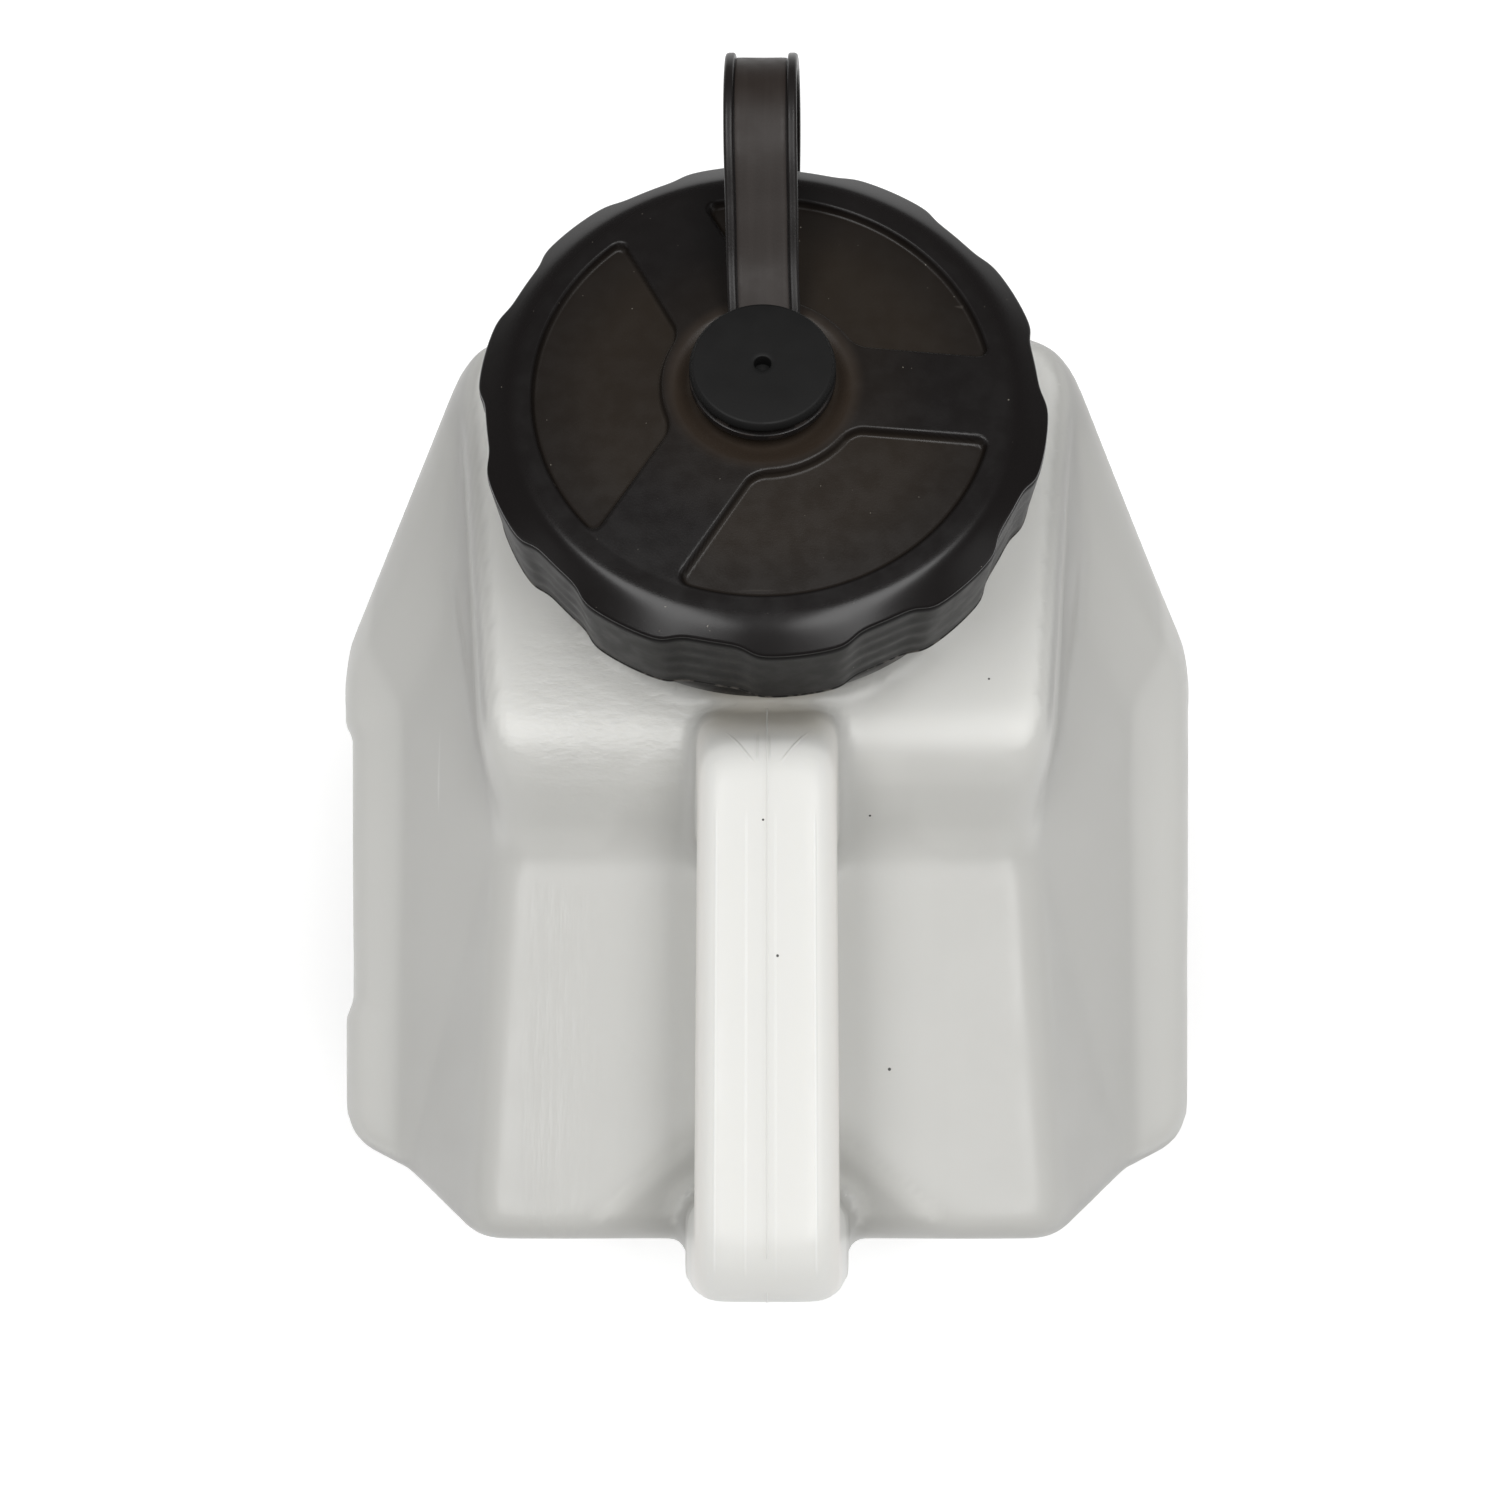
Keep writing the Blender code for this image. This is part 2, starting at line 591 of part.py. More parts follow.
def build_tether():
    """The tether: collar round the neck, strap over the rim and eyelet on the stem."""
    collar = ring_profile(*COLLAR_RADII, *COLLAR_Z, COLLAR_CHAMFER)
    tether = object_from_mesh("tether", turned(collar, WIDE_STEPS), lid_frame())
    disc = ring_profile(EYELET_HOLE, EYELET_RADIUS, *EYELET_Z, EYELET_CHAMFER)
    eyelet = object_from_mesh("eyelet", turned(disc, NARROW_STEPS), lid_frame())
    band = strap()
    holes = [punch("stem_hole", EYELET_HOLE, EYELET_Z, NARROW_STEPS),
             punch("neck_hole", COLLAR_RADII[0], COLLAR_Z, WIDE_STEPS)]
    boolean(band, holes, "DIFFERENCE")
    boolean(tether, [band, eyelet], "UNION")
    tether.data.materials.clear()
    tether.data.materials.append(plastic("brown_grey", (0.055, 0.043, 0.038), 0.5))


def build_button():
    """The vent button: a disc with a blind hole, on a stem that stands on the hub."""
    foot = HUB_TOP - HUB_DISH + GAP
    profile = [(0, BUTTON_TOP - VENT_DEPTH), (VENT_RADIUS, BUTTON_TOP - VENT_DEPTH),
               (VENT_RADIUS, BUTTON_TOP - 0.2), (VENT_RADIUS + 0.3, BUTTON_TOP),
               (BUTTON_RADIUS - 0.9, BUTTON_TOP), (BUTTON_RADIUS - 0.3, BUTTON_TOP - 0.5),
               (BUTTON_RADIUS, BUTTON_TOP - 1.3), (BUTTON_RADIUS - 0.2, BUTTON_UNDER + 0.3),
               (BUTTON_RADIUS - 0.6, BUTTON_UNDER), (STEM_RADIUS, BUTTON_UNDER),
               (STEM_RADIUS, foot), (0, foot)]
    button = object_from_mesh("vent_button", turned(profile, NARROW_STEPS), lid_frame())
    button.data.materials.append(plastic("matt_black", (0.011, 0.011, 0.011), 0.6))


remove_everything()
build_body()
build_lid()
build_tether()
build_button()
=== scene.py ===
"""Looks of the plastic jerrycan: moulded body, screw lid, tether and vent button.

Lengths below are millimetres unless a comment says otherwise; MM turns them into
metres. +Z is up, the handle is at the rear (-Y) and the neck at the front (+Y).

A zone is a list of limits. Each limit names what is measured, where the zone starts
and where it is full. The share of a place in the zone is the product of its limits.
"""
import math

import bmesh
import bpy
import numpy as np
from mathutils import Matrix, Vector
from mathutils.bvhtree import BVHTree


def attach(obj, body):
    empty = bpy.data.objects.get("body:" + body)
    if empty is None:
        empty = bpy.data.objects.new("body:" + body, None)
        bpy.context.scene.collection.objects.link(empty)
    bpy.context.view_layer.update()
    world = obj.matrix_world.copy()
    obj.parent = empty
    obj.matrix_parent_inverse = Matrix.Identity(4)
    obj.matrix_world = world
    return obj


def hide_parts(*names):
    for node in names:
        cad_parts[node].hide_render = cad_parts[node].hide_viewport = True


MM = 0.001

# Camera: it looks down steeply from the handle's side
CAMERA_PLACE = (0.0, -99.4, 730.6)
CAMERA_ELEVATION = 78.0
FOCAL_PIXELS = 2200.0
IMAGE_PIXELS = 1500.0
OFF_CENTRE_PIXELS = 17.0
SENSOR = 36.0

# Body skin
VOXEL = 1.6
SMOOTH_ROUNDS = 8
SETTLE_ROUNDS = 4             # after the flats are laid back on the solid's faces
SNAP = (0.5, 0.2)             # skin further off the solid than the first stays, closer lies on it
DENT = 1.7                    # the left ledge's edge draws in by this much in its zone
DENT_ZONE = (("y", -53.0, -47.0), ("y", 20.0, 15.0), ("x", -90.0, -101.0),
             ("z", 216.0, 209.0), ("z", 120.0, 198.0))
SHELL_TOP = ((-125.0, 241.0), (-104.0, 241.0), (-18.5, 242.0), (0.3, 262.0), (110.0, 240.7))
REAR_WALL_Y = -104.0

# Looks of the body: each zone's strength and limits. "side" is the distance from the
# middle plane, "above" the height over the shell's top, "behind" the distance behind
# the rear wall and "upward" the Z of the surface's normal.
BODY_ZONES = {
    "thick_and_painted_light": (                # whiter on the handle's thicker wall; elsewhere painted light
        (1.0, ("above", 1.5, 8.0), ("y", 18.0, 12.0), ("side", 20.4, 16.4)),       # handle
        (1.0, ("behind", 1.0, 6.0), ("side", 20.4, 16.4)),                         # its leg
        # The zones below are painted light: lighter on faces turned up, beside the handle against
        # its shadow, on the scoops, on the sloping top against the lid's shadow, in the recess and
        # on the ledges.
        (0.21, ("upward", 0.2, 1.0)),                                              # level faces
        (0.52, ("side", 50.0, 24.0), ("side", 72.0, 62.0), ("z", 236.0, 241.0)),   # by the handle
        (0.62, ("upward", 0.992, 0.95), ("upward", 0.80, 0.87), ("y", -76.0, -84.0),
         ("side", 43.0, 33.0)),                                                    # scoops
        (0.88, ("y", -9.0, 7.0), ("z", 230.0, 234.0), ("upward", 0.84, 0.975)),    # sloping top
        (0.42, ("y", -26.0, -14.0), ("side", 72.0, 62.0), ("z", 236.0, 241.0)),    # recess
        (0.35, ("side", 83.0, 90.0), ("z", 195.0, 200.0), ("z", 217.0, 212.0)),    # ledges
    ),
    "dim": (
        # Painted shade: the sloping front bands and rear chamfers are darkened.
        (1.0, ("y", 2.0, 12.0), ("z", 229.0, 240.0), ("upward", 0.25, 0.4),
         ("upward", 0.8, 0.56)),                                                   # front bands
        (1.0, ("y", -78.0, -84.0), ("side", 60.0, 68.0), ("upward", 0.6, 0.3)),    # rear chamfers
    ),
    "shade": (
        (0.4, ("y", -4.0, 4.0), ("y", 19.0, 13.0), ("side", 16.0, 10.0),
         ("above", 0.5, 4.0)),                                                     # handle's root: painted shade and painted reflection of the brown lid
    ),
}

# Marks on the body
SCUFF_ZONE = (("x", -97.0, -93.0), ("x", -70.0, -74.0), ("y", -75.0, -55.0), ("y", 20.0, 0.0),
              ("z", 205.0, 212.0))
SCUFF_SHARE = 0.35
FLOW_ZONE = (("x", -57.0, -51.0), ("x", -34.0, -46.0), ("y", -22.0, -34.0))
WRINKLE_SPOT = ((-34.0, 12.0, 260.0), 12.0, 34.0)      # place, full within, gone beyond
FOLD_ZONE = (("y", -9.0, -7.0), ("y", 0.5, -3.5), ("z", 276.0, 281.0))
FOLD_LEAN = 0.7               # the outer folds lean out by this much for each step forward
FOLD_PLACE = 8.8
PINCH_MIDDLE = -0.8           # the two inner folds lie to both sides of here
PINCH_PLACE = 1.2
FOLD_WIDTH = 0.5
FOLD_SHADE_SHARE = 0.10
# The lines at -10.3 and 9.7 are painted highlights along the edges' roundings.
HANDLE_LINES_AND_HIGHLIGHTS = ((-10.3, 0.8), (-4.2, 0.6), (1.7, 0.35), (9.7, 1.0))   # X and strength
HANDLE_LINE_ZONE = (("z", 287.5, 289.5), ("y", -17.0, -22.0))
HANDLE_LINE_WIDTH = 0.42
HANDLE_LINE_AND_HIGHLIGHT_SHARE = 0.55
HANDLE_EDGE_ZONE = (("side", 11.2, 14.5), ("z", 262.0, 270.0))
HANDLE_EDGE_SHARE = 0.4
SPECKS = (                    # dark specks moulded into the plastic: place and radius
    (2.1, -48.2, 292.0, 0.34), (-0.8, -20.6, 292.0, 0.28), (27.0, -67.4, 241.4, 0.42),
    (49.0, 17.0, 259.0, 0.4), (-14.2, 10.2, 260.1, 0.4), (-10.2, 9.8, 260.1, 0.32),
    (-23.0, 3.2, 261.4, 0.3), (22.9, -12.0, 249.0, 0.32),
)
SPECK_CORE = 0.7              # a speck is full within this share of its radius

# Parting line of the mould
PARTING_Y = (9.0, -108.0)     # it runs back along the handle between these
PARTING_Z = (284.0, 4.0)      # and then down the leg and the rear wall
PARTING_STEP = 1.0
PARTING_SECTION = ((-0.28, -0.25), (-0.168, 0.098), (0.0, 0.14), (0.168, 0.098), (0.28, -0.25))
PARTING_WALL_ZONE = (("y", -98.0, -103.0), ("z", 205.0, 188.0))
PARTING_WALL_LOSS = 0.9       # how much of the whiter look it loses there

# Lid, tether and button share an axis square to the sloping top
LID_TILT = math.atan2(20.0, 103.2)
LID_ORIGIN = (-0.9, 67.0, 300.01)       # on the axis, in the plane of the lid's rim
LOBES = 10
LOBE_PHASE = math.radians(7.6)
LOBE_RADIUS = 59.4
LOBE_DEPTH = 2.0
LOBE_BLEND = 8.0              # the valleys grow to full depth over this much past the crest
VALLEY_SHARPNESS = 5.0
VALLEY_START = 0.25           # the higher, the narrower the valleys
HUB_TOP = 5.5
HUB_RADIUS = 20.0
HUB_DISH = 1.1
HUB_STEP = (4.8, 1.0)         # the dish rises between these distances inside the hub's edge
CREST_TOP = 3.2
CREST_RADIUS = 48.4
BROW_RADIUS = 52.8            # the top bends down here, over this much to either side
BROW_BEND = 1.6
BROW_SLOPE = 0.62
PANEL_OUTER = 48.0
PANEL_INNER = 20.4
PANEL_DEPTH = 1.9
PANEL_WALL = 1.1
PANEL_CORNER = 3.0
SPOKE_HALF = 9.4
SPOKE_ANGLES = (-2.5, 117.0, 237.0)
LID_STEPS = 600
INNER_REACHES = (1.0, 15.0, 1.0)        # start, end and step of the rings over the hub
OUTER_REACHES = (15.0, 59.1, 0.35)      # and from there to the edge
EDGE_RINGS = (                # inside the lobes' radius, below the edge, whether on the skirt
    (0.2, 0.05, 0), (0.1, 0.35, 0), (0.25, 0.6, 0), (0.65, 0.75, 0), (0.65, 1.0, 1), (0.2, 1.2, 1),
)
SKIRT_RINGS = 44
SKIRT_TOP = 1.4               # the skirt proper starts this far below the edge
SKIRT_FOOT = -22.5
SKIRT_FOOT_ROUND = 0.9
SKIRT_TAPER = 1.05
SKIRT_WAVE = 5.4              # the skirt's hollows carry soft waves this far apart
SKIRT_RELIEF = 0.13
HOLLOW_START = 0.1
FLASH_RINGS = (               # reach, height over the foot, how much flash shows
    (58.25, 0.6, 0.6), (58.5, 0.4, 1.0), (58.45, 0.15, 1.0), (57.8, 0.0, 0.0), (56.6, 0.0, 0.0),
)
SOCKET_RADIUS = 47.3
SOCKET_CHAMFER = 1.4
SOCKET_CEILING = -7.3

# Looks of the lid by radius: where each look starts and where it is full
PANEL_LOOK = (0.1, PANEL_WALL)          # distance inside a panel's edge
PANEL_BROWNER = (46.0, 32.0)  # the panels are half as brown outside this
SPOKE_LOOK = (38.0, 22.0)
SPOKE_SHARE = 0.35
HUB_LOOK = (HUB_RADIUS + 1.5, HUB_RADIUS - 2.5)
BROW_LOOK = (49.5, 53.0)

BUTTON_RADIUS = 14.9
BUTTON_TOP = 12.5
BUTTON_UNDER = 10.5
STEM_RADIUS = 5.0
STEM_FOOT = 4.7
VENT_RADIUS = 1.7
VENT_DEPTH = 3.0
BUTTON_STEPS = 160

EYELET_HOLE = 5.3
EYELET_RADIUS = 15.0
EYELET_Z = (7.1, 9.0)
EYELET_CHAMFER = 0.5
STRAP_START = 8.0             # the strap proper starts this far forward of the axis
STRAP_ROUTE = (               # sideways, forward from the axis, above the rim plane
    (0.4, 4.0, 8.0), (0.4, 9.0, 8.0), (0.3, 14.5, 8.1), (0.0, 23.0, 11.4), (-0.2, 33.0, 18.8),
    (-0.5, 44.0, 26.8), (-0.5, 55.0, 29.8), (-0.2, 65.2, 25.4), (0.4, 70.8, 14.0),
    (0.8, 71.0, 0.0), (0.9, 68.0, -14.0), (0.7, 62.5, -25.0), (0.5, 52.0, -32.0),
)
ROUTE_STEPS = 10
STRAP_HALF = 7.5
STRAP_WEB = 0.85              # half thickness of the web
RIB_WIDTH = 2.0
RIB_RISE = 1.0
COLLAR_INNER = 47.1
COLLAR_OUTER = 52.8
COLLAR_Z = (-35.0, -30.0)
COLLAR_CHAMFER = 1.0
RING_STEPS = 192

# Light: places in metres and powers in watts
BOXES = {                     # name: place, size along Y and across, power
    "left_box": ((-0.91, -0.05, 3.1), (2.2, 1.04), 38.8),
    "right_box": ((0.91, -0.05, 3.1), (2.2, 1.04), 43.0),
    "left_strip": ((-1.5, -0.1, 0.9), (0.5, 1.2), 0.8),
    "right_strip": ((1.5, -0.1, 0.9), (0.5, 1.2), 1.4),
}
LIGHT_TARGET = (0.0, 0.0, 0.2)
SURROUND = 0.19
FLOOR_GLOW = 0.34
FLOOR_HALF = 4.0              # metres
WHITE = (1.0, 1.0, 1.0, 1.0)

# Materials: linear colours, and pairs of them that a cloud mixes
COLOURS = {
    "thin": ((0.471, 0.468, 0.447), (0.501, 0.497, 0.475)),
    # whiter on the handle's thicker wall, and used as painted light on other faces
    "thick_and_painted_light": ((0.775, 0.773, 0.742), (0.805, 0.803, 0.775)),
    # painted shade on the front bands and rear chamfers
    "dim": (0.405, 0.401, 0.384),
    # painted shade and brown painted reflection of the lid at the handle's root
    "shade": (0.66, 0.605, 0.50),
    "speck": (0.03, 0.028, 0.025),
    "scuff": (0.72, 0.72, 0.70),
    # painted shade in the creases of the folds at the handle's root
    "fold_shade": (0.30, 0.285, 0.25),
    # pale lines on the handle: the outer two are painted highlights
    "handle_line_and_highlight": (0.90, 0.90, 0.885),
    "handle_edge": (0.80, 0.755, 0.70),
    "rim": ((0.0050, 0.0038, 0.0036), (0.0072, 0.0057, 0.0055)),
    "panel": ((0.0168, 0.0121, 0.0082), (0.0205, 0.0149, 0.0103)),
    "hub": (0.033, 0.0238, 0.0172),
    "skirt": ((0.0062, 0.0053, 0.0048), (0.0088, 0.0077, 0.0071)),
    "flash": (0.11, 0.10, 0.088),
    "dust": (0.17, 0.155, 0.13),
    "scratch": (0.06, 0.052, 0.045),
    "web": ((0.0205, 0.0150, 0.0124), (0.0275, 0.0208, 0.0176)),
    "web_streak": (0.040, 0.032, 0.028),
    "rib": (0.011, 0.0092, 0.0088),
    # painted shade: the eyelet under the button is darkened
    "eyelet": (0.0050, 0.0046, 0.0046),
    "button": ((0.0048, 0.0047, 0.0046), (0.0072, 0.0070, 0.0069)),
    "floor": ((0.93, 0.93, 0.93), (0.96, 0.96, 0.96)),
}
NOISES = {                    # cells to the metre, detail, roughness, stretch along X, Y and Z
    "milk_cloud": (14.0, 2.0),
    "milk_gloss": (60.0, 3.0),
    "peel": (520.0, 2.0, 0.55),
    "scuffs": (420.0, 3.0, 0.6, (1.0, 0.035, 0.2)),
    "flow": (620.0, 2.0, 0.5, (1.0, 0.12, 0.3)),
    "wrinkles": (260.0, 3.0, 0.55, (0.6, 1.3, 1.0)),
    "lid_cloud": (30.0, 3.0),
    "lid_gloss": (220.0, 4.0),
    "lid_grain": (2600.0, 2.0, 0.6),
    "lid_waves": (120.0, 2.0),
    "flash": (420.0, 2.0),
    "dust": (900.0, 1.0),
    "scratches": (240.0, 1.0, 0.5, (0.16, 1.0, 1.0)),
    "strap_cloud": (45.0, 3.0),
    "strap_gloss": (180.0, 3.0),
    "strap_grain": (2200.0, 2.0, 0.6),
    "strap_streaks": (600.0, 2.0, 0.5, (1.0, 0.05, 0.05)),
    "button_cloud": (90.0, 3.0),
    "button_gloss": (160.0, 3.0),
    "button_grain": (3200.0, 2.0, 0.6),
    "floor_cloud": (3.0, 2.0),
    "floor_grain": (300.0, 2.0),
}
CUTS = {                      # a mark starts at the first noise value, full at the second
    "scuffs": (0.66, 0.74),
    "flash": (0.46, 0.60),
    "dust": (0.80, 0.83),
    "scratches": (0.795, 0.81),
    "strap_streaks": (0.35, 0.75),
}
GLOSS = {                     # roughness at the low and the high end of its noise
    "milk_gloss": (0.34, 0.43),
    "lid_gloss": (0.115, 0.215),        # on top of the brow's own
    "strap_gloss": (0.40, 0.52),
    "button_gloss": (0.50, 0.62),
}
GLOSS_ENDS = (0.3, 0.7)
RELIEF = {                    # depth and strength
    "peel": (0.045, 0.45),
    "flow": (0.30, 0.7),
    "wrinkles": (0.75, 0.7),
    "folds": (0.22, 0.7),
    "handle_lines": (0.12, 0.7),
    "lid_grain": (0.035, 0.5),
    "lid_waves": (0.12, 0.35),
    "strap_grain": (0.03, 0.5),
    "button_grain": (0.03, 0.6),
    "floor_grain": (0.05, 0.2),
}
SKIN_SCATTER = 0.4
SCATTER_COLOUR = (1.0, 0.98, 0.92)
SCATTER_DEPTH = 9.0
MILK_IOR = 1.5
SCRATCH_SHARE = 0.5
BROW_SMOOTHING = 0.8          # how much of its grain the glossy brow loses
BROW_ROUGHNESS = 0.185
SKIRT_DULLNESS = 0.14
LID_SPECULAR = 0.32
STREAK_SHARE = 0.25
RIB_GLOSS = 0.13
EYELET_GLOSS = 0.20
STRAP_SPECULAR = 0.28
BUTTON_SPECULAR = 0.25
FLOOR_ROUGHNESS = 0.8


def smoothstep(value, low, high):
    share = np.clip((value - low) / (high - low), 0.0, 1.0)
    return share * share * (3.0 - 2.0 * share)


def zone_share(measures, limits):
    """Share of each vertex in a zone; measures holds an array for each name."""
    share = 1.0
    for name, start, full in limits:
        share = share * smoothstep(measures[name], start, full)
    return share


def lid_matrix():
    """Lid axis frame: X sideways, Y forward, Z along the axis, in metres."""
    return Matrix.Translation(Vector(LID_ORIGIN) * MM) @ Matrix.Rotation(-LID_TILT, 4, "X")


# Materials

class Surface:
    """A Principled material and short calls that add its nodes."""

    def __init__(self, name):
        self.material = bpy.data.materials.new(name)
        self.material.use_nodes = True
        self.tree = self.material.node_tree
        self.shader = self.tree.nodes["Principled BSDF"]
        self.place = self.tree.nodes.new("ShaderNodeTexCoord").outputs["Object"]
        self.measures = {}

    def connect(self, source, socket):
        if isinstance(source, (int, float)):
            socket.default_value = source
        elif isinstance(source, tuple):
            socket.default_value = (*source, 1.0)
        else:
            self.tree.links.new(source, socket)

    def math(self, operation, first, second=0.0):
        node = self.tree.nodes.new("ShaderNodeMath")
        node.operation = operation
        self.connect(first, node.inputs[0])
        self.connect(second, node.inputs[1])
        return node.outputs[0]

    def times(self, first, second):
        return self.math("MULTIPLY", first, second)

    def ramp(self, value, low, high, start=0.0, end=1.0):
        """Map value from low..high to start..end with soft ends."""
        node = self.tree.nodes.new("ShaderNodeMapRange")
        node.interpolation_type = "SMOOTHSTEP"
        self.connect(value, node.inputs["Value"])
        for socket, number in zip(("From Min", "From Max", "To Min", "To Max"),
                                  (low, high, start, end)):
            node.inputs[socket].default_value = number
        return node.outputs["Result"]

    def cells(self, scale, detail, roughness=0.5, stretch=(1.0, 1.0, 1.0)):
        mapping = self.tree.nodes.new("ShaderNodeMapping")
        mapping.inputs["Scale"].default_value = stretch
        self.tree.links.new(self.place, mapping.inputs["Vector"])
        node = self.tree.nodes.new("ShaderNodeTexNoise")
        node.inputs["Scale"].default_value = scale
        node.inputs["Detail"].default_value = detail
        node.inputs["Roughness"].default_value = roughness
        self.tree.links.new(mapping.outputs["Vector"], node.inputs["Vector"])
        return node.outputs["Fac"]

    def noise(self, name):
        return self.cells(*NOISES[name])

    def marks(self, name):
        """One where a noise is high, nought elsewhere."""
        return self.ramp(self.noise(name), *CUTS[name])

    def gloss(self, name):
        """A roughness that a noise varies."""
        return self.ramp(self.noise(name), *GLOSS_ENDS, *GLOSS[name])

    def measure(self, name):
        """X, Y or Z of the place, or its distance to the side of the middle plane."""
        if name not in self.measures:
            if name == "side":
                self.measures[name] = self.math("ABSOLUTE", self.measure("x"))
            else:
                node = self.tree.nodes.new("ShaderNodeSeparateXYZ")
                self.tree.links.new(self.place, node.inputs["Vector"])
                self.measures[name] = node.outputs[name.upper()]
        return self.measures[name]

    def zone(self, limits):
        """Share of the place in a zone."""
        share = 1.0
        for name, start, full in limits:
            if start < full:
                part = self.ramp(self.measure(name), start * MM, full * MM)
            else:
                part = self.ramp(self.measure(name), full * MM, start * MM, 1.0, 0.0)
            share = self.times(part, share)
        return share

    def line(self, value, place, width):
        """One where the value is at the place (millimetres), nought a width away."""
        away = self.math("ABSOLUTE", self.math("SUBTRACT", value, place * MM))
        return self.ramp(away, 0.0, width * MM, 1.0, 0.0)

    def spot(self, point, full, radius):
        """One within the full distance of a point (millimetres), fading to the radius."""
        node = self.tree.nodes.new("ShaderNodeVectorMath")
        node.operation = "DISTANCE"
        self.tree.links.new(self.place, node.inputs[0])
        node.inputs[1].default_value = [c * MM for c in point]
        return self.ramp(node.outputs["Value"], full * MM, radius * MM, 1.0, 0.0)

    def attribute(self, name):
        node = self.tree.nodes.new("ShaderNodeAttribute")
        node.attribute_name = name
        return node.outputs["Fac"]

    def mix(self, share, first, second):
        node = self.tree.nodes.new("ShaderNodeMix")
        node.data_type = "RGBA"
        self.connect(share, node.inputs["Factor"])
        colours = [socket for socket in node.inputs if socket.type == "RGBA"]
        self.connect(first, colours[0])
        self.connect(second, colours[1])
        return next(socket for socket in node.outputs if socket.type == "RGBA")

    def bump(self, name, height, under=None):
        """Relief of the named depth and strength, over the relief under it."""
        depth, strength = RELIEF[name]
        node = self.tree.nodes.new("ShaderNodeBump")
        node.inputs["Strength"].default_value = strength
        node.inputs["Distance"].default_value = depth * MM
        self.connect(height, node.inputs["Height"])
        if under is not None:
            self.tree.links.new(under, node.inputs["Normal"])
        return node.outputs["Normal"]

    def finish(self, colour, roughness, normal):
        self.connect(colour, self.shader.inputs["Base Color"])
        self.connect(roughness, self.shader.inputs["Roughness"])
        self.tree.links.new(normal, self.shader.inputs["Normal"])
        return self.material


def milky_plastic(name, scatter):
    """Milky polyethylene: greyer where the wall is thin, whiter on the handle, painted light and
    shade elsewhere.
    """
    s = Surface(name)
    x, y = s.measure("x"), s.measure("y")
    cloud = s.noise("milk_cloud")
    # Whiter on the handle's thicker wall; elsewhere this share is painted light.
    colour = s.mix(s.attribute("thick_and_painted_light"), s.mix(cloud, *COLOURS["thin"]),
                   s.mix(cloud, *COLOURS["thick_and_painted_light"]))
    # Painted shade on the sloping front bands and rear chamfers.
    colour = s.mix(s.attribute("dim"), colour, COLOURS["dim"])
    # Painted shade, with a brown painted reflection of the lid, at the handle's root.
    colour = s.mix(s.attribute("shade"), colour, COLOURS["shade"])
    for *place, radius in SPECKS:
        colour = s.mix(s.spot(place, SPECK_CORE * radius, radius), colour, COLOURS["speck"])
    # Faint pale scuffs run down the left side panel.
    scuffs = s.times(s.marks("scuffs"), s.zone(SCUFF_ZONE))
    colour = s.mix(s.times(scuffs, SCUFF_SHARE), colour, COLOURS["scuff"])
    normal = s.bump("peel", s.noise("peel"))
    # Flow marks: short waves at the rear floor's left edge, wrinkles beside the handle's root.
    normal = s.bump("flow", s.times(s.noise("flow"), s.zone(FLOW_ZONE)), normal)
    wrinkles = s.times(s.noise("wrinkles"), s.spot(*WRINKLE_SPOT))
    normal = s.bump("wrinkles", wrinkles, normal)
    # Fine folds fan out where the mould pinched the handle's root; their darker colour is painted
    # shade in the creases.
    fan = s.math("SUBTRACT", s.measure("side"), s.times(y, FOLD_LEAN))
    beside = s.math("ABSOLUTE", s.math("SUBTRACT", x, PINCH_MIDDLE * MM))
    folds = s.math("MAXIMUM", s.line(fan, FOLD_PLACE, FOLD_WIDTH),
                   s.line(beside, PINCH_PLACE, FOLD_WIDTH))
    folds = s.times(folds, s.zone(FOLD_ZONE))
    normal = s.bump("folds", folds, normal)
    colour = s.mix(s.times(folds, FOLD_SHADE_SHARE), colour, COLOURS["fold_shade"])
    # Fine raised lines run along the top of the handle; the outer two are painted highlights where
    # the flat top meets the rounded edges. The edges are a little warmer.
    lines_and_highlights = 0.0
    for place, strength in HANDLE_LINES_AND_HIGHLIGHTS:
        line = s.times(s.line(x, place, HANDLE_LINE_WIDTH), strength)
        lines_and_highlights = s.math("MAXIMUM", lines_and_highlights, line)
    lines_and_highlights = s.times(lines_and_highlights, s.zone(HANDLE_LINE_ZONE))
    normal = s.bump("handle_lines", lines_and_highlights, normal)
    colour = s.mix(s.times(lines_and_highlights, HANDLE_LINE_AND_HIGHLIGHT_SHARE), colour, COLOURS["handle_line_and_highlight"])
    edge = s.times(s.zone(HANDLE_EDGE_ZONE), HANDLE_EDGE_SHARE)
    colour = s.mix(edge, colour, COLOURS["handle_edge"])
    s.shader.inputs["Subsurface Weight"].default_value = scatter
    s.shader.inputs["Subsurface Radius"].default_value = SCATTER_COLOUR
    s.shader.inputs["Subsurface Scale"].default_value = SCATTER_DEPTH * MM
    s.shader.inputs["IOR"].default_value = MILK_IOR
    return s.finish(colour, s.gloss("milk_gloss"), normal)


